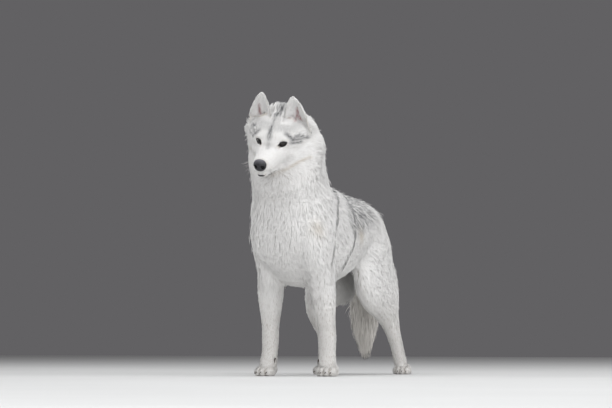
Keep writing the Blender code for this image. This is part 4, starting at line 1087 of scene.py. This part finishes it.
def coatOnEar(coat, keep, centre, flat, side):
    # short hair outside, longer hair inside and little of it on the bare skin
    turn = earTurn(side)
    q, on = earPlace(centre, side)
    above = np.clip(q[:, 2] / ear["height"], 0, 1)
    share = (ramp(q[:, 2], 0.002, 0.012) * on)[:, None]
    inside = (turned(turn.inverted(), flat)[:, 1] < 0.15)[:, None]
    inward = np.stack([0.25 * side - q[:, 0] * 9, np.full(len(q), -0.25), np.ones(len(q))], axis=1)
    lie = np.where(inside, turned(turn, unit(inward)), turned(turn, [(0.0, 0.05, 1.0)]))
    outer, inner = (np.stack([base + more * above, np.full(len(q), rise), np.full(len(q), width)], axis=1)
                    for (base, more), rise, width in (earHair["outer"], earHair["inner"]))
    size = np.where(inside, inner, outer)
    coat[:, :3] = coat[:, :3] * (1 - share) + lie * share
    coat[:, 3:] = np.exp(np.log(coat[:, 3:]) * (1 - share) + np.log(size) * share)
    keep *= 1 - 0.85 * (strokeShade(centre, earStrokes[side], headTurn) > 0.60) * on * inside[:, 0]
    return on & (q[:, 2] > 0.006)


def clearFace(keep, centre):
    # no hair on the eyes, the nose and the lips
    out, down, radius = eye["bareCorner"]
    for side in bothSides:
        x, y, z = intoEye(side, centre).T
        corner = np.hypot(x + side * out, z + down) < radius
        keep[(insideAlmond(x, z, eye["bareEdge"]) | corner) & (y > -0.03) & (y < 0.014)] = 0
    q = moved(intoHead, centre)
    y = q[:, 1]
    keep[((((q[:, ::2] - nose["seat"]) / nose["seatRadii"]) ** 2).sum(axis=1) < 1) & (y < -0.084)] = 0
    bare = np.where(y < -0.086, lip["bareFront"], lip["bare"])
    keep[(toMouth(q, (0.3, 0.3, 1)) < bare) & (y < -0.045)] = 0


def coatRoots():
    # spreads the roots over the skin, closer where the hair is finer
    mesh = skin.data
    mesh.calc_loop_triangles()
    corners, loops = (readArray(mesh.loop_triangles, key, np.int32, 3) for key in ("vertices", "loops"))
    uvs = readArray(mesh.uv_layers["OFBake"].data, "uv", np.float32, 2)
    points, normals = pointsOf(skin), normalsOf(skin)
    a, b, c = (points[corners[:, k]] for k in range(3))
    cross = np.cross(b - a, c - a)
    flat, centre = unit(cross), (a + b + c) / 3
    coat, keep = coatAt(centre), np.ones(len(centre))
    onTail = tailShare(centre) > 0.3
    coat[onTail] = (*unit(np.array((0.0, 0.06, -1.0))), *brush["size"])
    onEar = np.zeros(len(centre), bool)
    for side in bothSides:
        onEar |= coatOnEar(coat, keep, centre, flat, side)
    clearFace(keep, centre)
    keep[(centre[:, 2] < 0.0022) & (flat[:, 2] < -0.6)] = 0

    spacing = tuft["spacing"] * 1.0
    area = np.linalg.norm(cross, axis=1) / 2
    expected = np.cumsum(keep * area / (spacing * coat[:, 5]) ** 2)
    count = int(expected[-1])
    chosen = np.searchsorted(expected, np.arange(count) + dice.random(count))
    chosen = np.minimum(chosen, len(centre) - 1)
    shares = np.sort(dice.random((count, 2)), axis=1)
    shares = np.stack([shares[:, 0], shares[:, 1] - shares[:, 0], 1 - shares[:, 1]], axis=1)
    root, normal, uv = (np.einsum("ij,ijk->ik", shares, values[of[chosen]])
                        for values, of in ((points, corners), (normals, corners), (uvs, loops)))
    return root, unit(normal), uv, coat[chosen], onEar[chosen], onTail[chosen]


def surfaceUnder(points, fallback, reach):
    # nearest place on the skin and its normal; hair runs straight on where the skin ends
    places, ups = points.copy(), fallback.copy()
    for k in range(len(points)):
        hit, normal, _, away = skinShape.find_nearest(points[k])
        if hit is not None and away < reach[k]:
            places[k], ups[k] = hit, normal
    return places, ups


def clumpPaths(root, width, middle, tip):
    # tips gather towards the tip of the nearest leading tuft
    leads = np.flatnonzero(dice.random(len(root)) < 1 / tuft["clumpSize"] ** 2)
    tree = KDTree(len(leads))
    for k in leads:
        tree.insert(root[k], int(k))
    tree.balance()
    pull = tuft["clumpPull"] * dice.uniform(0.6, 1.2, len(root))
    moveMiddle, moveTip = middle.copy(), tip.copy()
    for k in range(len(root)):
        _, lead, away = tree.find(root[k])
        share = pull[k] * max(0.0, 1 - away / (width[k] * tuft["clumpSize"] * 1.6))
        moveTip[k] += (tip[lead] + (root[k] - root[lead]) * 0.15 - tip[k]) * share
        moveMiddle[k] += (middle[lead] + (root[k] - root[lead]) * 0.5 - middle[k]) * share * 0.45
    return moveMiddle, moveTip


def tuftMesh(name, points, maps, faces):
    # faces of each tuft turned outward, and all tufts in one mesh
    count, perTuft = points.shape[:2]
    a, b, c = (points[:, faces[1][k]] for k in range(3))
    outward = dot(np.cross(b - a, c - a), (a + b + c) / 3 - points[:, :6].mean(axis=1)) > 0
    corners = np.where(outward[..., None], faces[None], faces[None, :, ::-1])
    corners = (corners + (np.arange(count) * perTuft)[:, None, None]).reshape(-1, 3)
    mesh = bpy.data.meshes.new(name)
    mesh.vertices.add(count * perTuft)
    mesh.vertices.foreach_set("co", points.astype(np.float32).ravel())
    mesh.loops.add(corners.size)
    mesh.loops.foreach_set("vertex_index", corners.ravel().astype(np.int32))
    mesh.polygons.add(len(corners))
    mesh.polygons.foreach_set("loop_start", (np.arange(len(corners)) * 3).astype(np.int32))
    mesh.polygons.foreach_set("use_smooth", np.ones(len(corners), bool))
    mesh.update(calc_edges=True)
    uvs = np.clip(maps.reshape(-1, 2)[corners.ravel()], 0, 1)
    mesh.uv_layers.new(name="OFBake").data.foreach_set("uv", uvs.astype(np.float32).ravel())
    return addObject(name, mesh)


def tuftPiece(name, rows, rings):
    # closed three-sided tufts through root, middle and tip
    root, middle, tip, normal, endNormal, uv, width, shade, values = rows
    count, steps = len(root), len(rings)
    perTuft = 3 * steps + 1
    across = unit(np.cross(normal, tip - root))
    points, maps = np.empty((count, perTuft, 3)), np.empty((count, perTuft, 2))
    for j, (t, size) in enumerate(rings):
        spot = root * (1 - t) * (1 - 2 * t) + middle * 4 * t * (1 - t) + tip * t * (2 * t - 1)
        ahead = root * (4 * t - 3) + middle * (4 - 8 * t) + tip * (4 * t - 1)
        lift = unit(np.cross(unit(ahead), across))
        lift *= np.sign(dot(lift, normal) + 1e-9)
        half = width[:, None] * size / 2
        points[:, 3 * j] = spot + across * half
        points[:, 3 * j + 1] = spot + lift * half * 2 * tuft["thickness"]
        points[:, 3 * j + 2] = spot - across * half
        for k in range(3):
            maps[:, 3 * j + k] = uv + tuft["patch"] * np.array(((1 - k) * 0.5 * size, t - 0.5))
    points[:, -1] = tip
    maps[:, -1] = uv + tuft["patch"] * np.array((0, 0.5))
    points[..., 2] = np.maximum(points[..., 2], tuft["lowest"])
    faces = [(2, 1, 0)]
    for j in range(steps - 1):
        for k in range(3):
            a, b = 3 * j + k, 3 * j + (k + 1) % 3
            faces += [(a, b, b + 3), (a, b + 3, a + 3)]
    faces += [(perTuft - 4 + k, perTuft - 4 + (k + 1) % 3, perTuft - 1) for k in range(3)]
    obj = tuftMesh(name, points, maps, np.array(faces))

    along = np.append(np.repeat([t for t, _ in rings], 3), 1.0)
    setFloat(obj, "along", np.tile(along, count))
    setFloat(obj, "shade", np.repeat(shade, perTuft))
    for key, value in values.items():
        # each marking is known at the root, the middle and the end of a tuft
        to = np.clip(along * 2, 0, 1)
        first = value[:, :1] * (1 - to) + value[:, 1:2] * to
        second = value[:, 1:2] * (2 - along * 2) + value[:, 2:] * (along * 2 - 1)
        setFloat(obj, key, np.where(along < 0.5, first, second).ravel())
    # the shading leans towards the coat's own surface, as light spreads in white hair
    own = normalsOf(obj).reshape(count, perTuft, 3)
    base = normal[:, None] * (1 - along[None, :, None]) + endNormal[:, None] * along[None, :, None]
    soft = unit(own * (1 - tuft["softness"]) + base * tuft["softness"])
    obj.data.normals_split_custom_set_from_vertices(soft.reshape(-1, 3).tolist())
    return obj


def growCoat():
    root, normal, uv, coat, onEar, onTail = coatRoots()
    count = len(root)
    length, rise, width = (column * dice.uniform(*tuft[key], count)
                           for column, key in zip(coat[:, 3:].T, ("lengths", "rises", "widths")))
    # hair lies flat at the partings behind the shoulder and under the edge of the cheek
    parting = np.maximum(strokeShade(root, bodyStrokes, mirror=True), jawShade(root))
    rise *= 1 - 0.65 * parting
    length *= 1 - 0.30 * parting
    stray = dice.random(count) < tuft["stray"]
    higher = np.minimum(rise[stray] * dice.uniform(1.2, 1.7, stray.sum()), tuft["strayRise"])
    rise[stray] = np.maximum(rise[stray], higher)
    lie = coat[:, :3] - normal * dot(coat[:, :3], normal)
    lie = unit(np.where(np.linalg.norm(lie, axis=1, keepdims=True) > 0.05, lie, coat[:, :3]))
    turn = dice.normal(0, tuft["sway"], count)
    turn[stray] *= 2.5
    lie = unit(lie * np.cos(turn)[:, None] + np.cross(normal, lie) * np.sin(turn)[:, None])
    # dark guard hairs run along each parting and lie on top; their darkness is partly the dog's own and partly the
    # painted shadow of the gap
    away, way, dark = partingLine(root)
    onLine = away < partingHair["reach"]
    lineColumn, tailColumn = onLine[:, None], onTail[:, None]
    lie = np.where(lineColumn, way, lie)
    length = np.where(onLine, partingHair["length"], length)
    rise = np.where(onLine, coat[:, 4] * partingHair["rise"], rise)
    width = np.where(onLine, partingHair["width"], width)
    # the brush of the tail hangs straight and closes to a point
    toEnd = ramp(-root[:, 2], -0.27, -0.11)[:, None]
    aim = np.array(brush["tip"]) + dice.normal(0, 1, (count, 3)) * brush["spread"]
    hang = unit(unit(aim - root) * toEnd + lie * (1 - toEnd))
    lie = np.where(tailColumn, hang, lie)
    room = np.maximum((root[:, 2] - brush["tip"][2]) * dice.uniform(0.88, 1.02, count), brush["shortest"])
    length = np.where(onTail, np.minimum(length, room), length)
    rise = np.where(onTail, rise * ramp(root[:, 2], 0.06, 0.17), rise)

    step = lie * length[:, None] * 0.5
    half, up = surfaceUnder(root + step, normal, np.where(onTail, 0.0, length * 0.45))
    middle = half + up * (rise * np.where(onLine, 1.0, 0.72))[:, None]
    ahead = unit(np.where(tailColumn, lie, lie - up * dot(lie, up)))
    end, up = surfaceUnder(half + ahead * length[:, None] * 0.5, up, np.where(onTail, 0.0, length * 0.55))
    tip = end + up * (rise * np.where(onTail, 1 - 0.7 * toEnd[:, 0], 1.0))[:, None]

    found = np.stack([markings(spot, normal) for spot in (root, half, end)], axis=2)
    values = dict(zip(("greyAndShade", "speckle", "tanAndShade", "pink"), found))
    values["pink"] *= 0.75
    peppered = np.flatnonzero(values["speckle"].max(axis=1) > 0.02)
    pepper = ramp(grainAt(end[peppered], pepperHair["grain"]), *pepperHair["edges"])
    values["speckle"][peppered] *= pepper[:, None]
    # the tail's beige-grey tint: partly its own grey, partly painted shade
    for key in ("tanAndShade", "greyAndShade"):
        values[key] = np.maximum(values[key], np.where(tailColumn, brush[key], 0.0))
    shade = dice.random(count)
    # tufts on a parting take its darkness: dark hair and painted shadow
    values["greyAndShade"] = np.where(lineColumn, dark[:, None], values["greyAndShade"])
    values["speckle"][onLine] = 0
    gathered = clumpPaths(root, width, middle, tip)
    middle, tip = (np.where(lineColumn, loose, held) for loose, held in zip((middle, tip), gathered))
    root = root + normal * np.where(onLine, rise * partingHair["lift"], -tuft["sink"])[:, None]

    x, y, z = root.T
    places = np.full(count, "Ribs", dtype="<U12")
    for name, here in (("Breast", y < -0.02), ("Rump", y > 0.20),
                       ("Ruff", heightOver(root, body["neckPlane"]) > -0.02),
                       ("Foreleg", (z < 0.31) & (y < 0.14)), ("Hindleg", (z < 0.36) & (y > 0.28)),
                       ("Tail", onTail), ("Head", heightOver(root, body["headPlane"]) > 0), ("Ear", onEar)):
        places[here] = name  # the last that fits
    columns = (root, middle, tip, normal, up, uv, width, shade)
    pieces = []
    for name in ("Head", "Ear", "Ruff", "Breast", "Ribs", "Rump", "Foreleg", "Hindleg", "Tail"):
        for word, half in (("Left", x > 0), ("Right", x <= 0)):
            made = []
            for rings, suits in ((longRings, length >= tuft["long"]), (shortRings, length < tuft["long"])):
                mine = (places == name) & half & suits
                if mine.any():
                    rows = [column[mine] for column in columns]
                    rows.append({key: value[mine] for key, value in values.items()})
                    made.append(tuftPiece("coat" + name + word, rows, rings))
            if made:
                pieces.append(joined(made, "coat" + name + word))
    return pieces


coatPieces = growCoat()
for piece in coatPieces:
    print(piece.name, len(piece.data.polygons))
print("coat grown,", sum(len(piece.data.polygons) for piece in coatPieces), "faces")


# Materials

def newMaterial(name, roughness, ior=1.5):
    material = bpy.data.materials.new(name)
    material.use_nodes = True
    surface = material.node_tree.nodes["Principled BSDF"]
    surface.inputs["Roughness"].default_value = roughness
    surface.inputs["IOR"].default_value = ior
    return material, surface


def feed(socket, value):
    # a value, or the socket that feeds this one
    if isinstance(value, bpy.types.NodeSocket):
        socket.id_data.links.new(value, socket)
    else:
        socket.default_value = value


def addNode(material, kind, inputs=(), **settings):
    node = material.node_tree.nodes.new(kind)
    for key, value in settings.items():
        setattr(node, key, value)
    for key, value in dict(inputs).items():
        feed(node.inputs[key], value)
    return node


def floatAttribute(material, name):
    return addNode(material, "ShaderNodeAttribute", attribute_name=name).outputs["Fac"]


def blend(material, share, under, over):
    # under and over are hex colours or sockets
    colours = (linear(c) if isinstance(c, str) else c for c in (under, over))
    inputs = dict(zip((0, 6, 7), (share, *colours)))
    return addNode(material, "ShaderNodeMix", inputs, data_type="RGBA").outputs[2]


def times(material, a, b):
    node = addNode(material, "ShaderNodeMath", {0: a, 1: b}, operation="MULTIPLY", use_clamp=True)
    return node.outputs[0]


def mapRange(material, value, start, end, low=0.0, high=1.0):
    inputs = {"Value": value, "From Min": start, "From Max": end, "To Min": low, "To Max": high}
    return addNode(material, "ShaderNodeMapRange", inputs).outputs[0]


def ownPlace(material):
    return addNode(material, "ShaderNodeTexCoord").outputs["Object"]


def fineGrain(material, size, detail):
    inputs = {"Vector": ownPlace(material), "Scale": 1 / size, "Detail": detail}
    return addNode(material, "ShaderNodeTexNoise", inputs).outputs["Fac"]


def grained(name, dark, pale, size, roughness, ior, detail=3.0):
    # a plain material with a fine grain between two colours
    material, surface = newMaterial(name, roughness, ior)
    feed(surface.inputs["Base Color"], blend(material, fineGrain(material, size, detail), dark, pale))
    return material


def coatMaterial(name, onSkin=False):
    # guard hair of a pale dog: white, darker grey where banded
    material, surface = newMaterial(name, 0.72, 1.55)
    greyAndShade, tanAndShade, pink = (floatAttribute(material, key) for key in ("greyAndShade", "tanAndShade", "pink"))
    if onSkin:
        # grey markings, with painted shade at the partings and between the toes
        colour = blend(material, greyAndShade, "#cdc8c3", "#4b4a4d")
    else:
        along, shade, speckle = (floatAttribute(material, key) for key in ("along", "shade", "speckle"))
        white = blend(material, along, "#d6d3d0", "#efeeec")
        white = blend(material, times(material, shade, 0.20), white, "#c9c7c6")
        # banded hair: some tufts are black to the root, some only tipped, some stay pale
        dark = blend(material, along, "#77777b", "#2b2b2e")
        banded = times(material, speckle, mapRange(material, shade, 0, 1, 0.55, 1.0))
        greyAndShade = times(material, greyAndShade, mapRange(material, shade, 0, 1, 0.62, 1.15))
        # grey markings, with painted shade at the partings, between the toes and on the tail
        colour = blend(material, greyAndShade, white, blend(material, shade, "#57575b", "#2f2f32"))
        colour = blend(material, banded, colour, dark)
    # tan stains, and painted shadow along the jaw, between the toes and on the tail
    colour = blend(material, tanAndShade, colour, "#b3a286")
    feed(surface.inputs["Base Color"], blend(material, pink, colour, "#8e4a50"))
    surface.inputs["Sheen Weight"].default_value = 0.15
    surface.inputs["Sheen Roughness"].default_value = 0.5
    return material


def leatherMaterial():
    # nose leather: fine pebbles, damp, paler above: a painted sheen
    material, surface = newMaterial("nose leather", 0.42, 1.42)
    place = ownPlace(material)
    cells = addNode(material, "ShaderNodeTexVoronoi", {"Vector": place, "Scale": 1 / 0.0011})
    height = addNode(material, "ShaderNodeSeparateXYZ", {0: place}).outputs["Z"]
    # painted sheen: the leather turns paler upwards from just above the nose's middle
    level = (headTurn @ nose["at"]).z + toFrame.z
    colour = blend(material, mapRange(material, height, level + 0.002, level + 0.015), "#2a292c", "#5a595e")
    # painted shade: near black inside the nostrils
    feed(surface.inputs["Base Color"], blend(material, floatAttribute(material, "nostril"), colour, "#050505"))
    pebbles = {"Height": cells.outputs["Distance"], "Strength": 0.5, "Distance": 0.00025}
    feed(surface.inputs["Normal"], addNode(material, "ShaderNodeBump", pebbles).outputs[0])
    return material


def eyeMaterial():
    # dark brown iris under a wet cornea
    material, surface = newMaterial("eye", 0.06, 1.38)
    away = floatAttribute(material, "fromPupil")
    iris = blend(material, fineGrain(material, 0.0012, 4.0), "#0e0907", "#20150e")
    pupil = mapRange(material, away, eye["pupilRadius"] - 0.0002, eye["pupilRadius"] + 0.0003)
    edge = mapRange(material, away, eye["irisRadius"] - 0.0008, eye["irisRadius"] + 0.0002)
    colour = blend(material, edge, blend(material, pupil, "#050505", iris), "#0e0b0a")
    feed(surface.inputs["Base Color"], colour)
    surface.inputs["Coat Weight"].default_value = 0.2
    surface.inputs["Coat Roughness"].default_value = 0.03
    return material


def give(material, *objects):
    for obj in objects:
        obj.data.materials.clear()
        obj.data.materials.append(material)


give(coatMaterial("white underfur", onSkin=True), skin)
give(coatMaterial("white guard hair"), *coatPieces)
# bare dark skin of the eyelids and lips
give(grained("dark bare skin", "#0f0e0f", "#232122", 0.0015, 0.38, 1.42), lids, lips)
give(leatherMaterial(), noseLeather)
give(eyeMaterial(), *eyeballs.values())
# claw horn, dark and a little uneven
give(grained("claw horn", "#2a2725", "#5c544d", 0.0030, 0.40, 1.54), claws)
# stiff white hair
give(grained("whisker", "#d9d5d0", "#f2f0ee", 0.01, 0.45, 1.55, detail=2.0), whiskers)

pieces = [skin, *coatPieces, lids, lips, noseLeather, *eyeballs.values(), claws, whiskers]
for piece in pieces:
    piece.data.transform(Matrix.Translation(toFrame))
    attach(piece, "root")
limbs = ("foreleg", "forepaw", "thigh", "hock", "hindpaw", "ear")
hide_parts("head", "neck", "torso", "tail",
            *(part + "_" + side for part in limbs for side in ("left", "right")))
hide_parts("nose")
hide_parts("eye_left")
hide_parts("eye_right")
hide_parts(*("claw_" + part + "paw_" + side + "_" + str(k) for part in ("fore", "hind")
                     for side in ("left", "right") for k in (1, 2, 3, 4)))


# Floor, light and camera

stage = {
    "world": "#626163",
    "lamps": (("sky", (0.4, -1.0, 4.2), 5.0, 165), ("front", (2.0, -5.0, 0.95), 4.0, 150),
              ("left", (5.0, 0.2, 1.9), 4.0, 150), ("right", (-4.5, -2.0, 2.4), 3.0, 70)),
    "lampAim": Vector((0, 0, 0.4)),
    "lampColour": (0.98, 0.99, 1.0),
    "distance": 8.0,
    "azimuth": math.radians(27.0),
    "height": 0.12,
    "pixelsPerMetre": 330.0,
    "picture": (612, 408),
    "sensor": 36,
    "ground": 376,  # the picture's row where the dog stands
    "aside": 9,     # how many pixels the dog stands left of the middle
}


def aimed(name, data, place, aim):
    obj = addObject(name, data)
    obj.location = place
    obj.rotation_euler = (aim - Vector(place)).to_track_quat("-Z", "Y").to_euler()
    return obj


def makeStage():
    floor = primitive("floor", bpy.ops.mesh.primitive_plane_add, size=14)
    give(grained("pale floor", "#d4d4d3", "#dededd", 1 / 1.5, 0.9, 1.5), floor)

    world = bpy.data.worlds.new("air")
    world.use_nodes = True
    world.node_tree.nodes["Background"].inputs["Color"].default_value = linear(stage["world"])
    world.node_tree.nodes["Background"].inputs["Strength"].default_value = 1.0
    bpy.context.scene.world = world
    for name, place, size, power in stage["lamps"]:
        lamp = bpy.data.lights.new(name, "AREA")
        lamp.size = size
        lamp.energy = power
        lamp.color = stage["lampColour"]
        aimed(name, lamp, place, stage["lampAim"])

    a, scale, height = stage["azimuth"], stage["pixelsPerMetre"], stage["height"]
    width, rows = stage["picture"]
    camera = bpy.data.cameras.new("camera")
    camera.lens = scale * stage["distance"] / width * stage["sensor"]
    right, back = Vector((math.cos(a), math.sin(a), 0)), Vector((math.sin(a), -math.cos(a), 0))
    place = toFrame + back * stage["distance"] + Vector((0, 0, height))
    aim = toFrame + right * (stage["aside"] / scale)
    aim.z += height + (stage["ground"] - scale * height - rows / 2) / scale
    bpy.context.scene.camera = aimed("camera", camera, place, aim)
    bpy.context.scene.view_settings.view_transform = "Standard"


makeStage()
print("pieces placed")
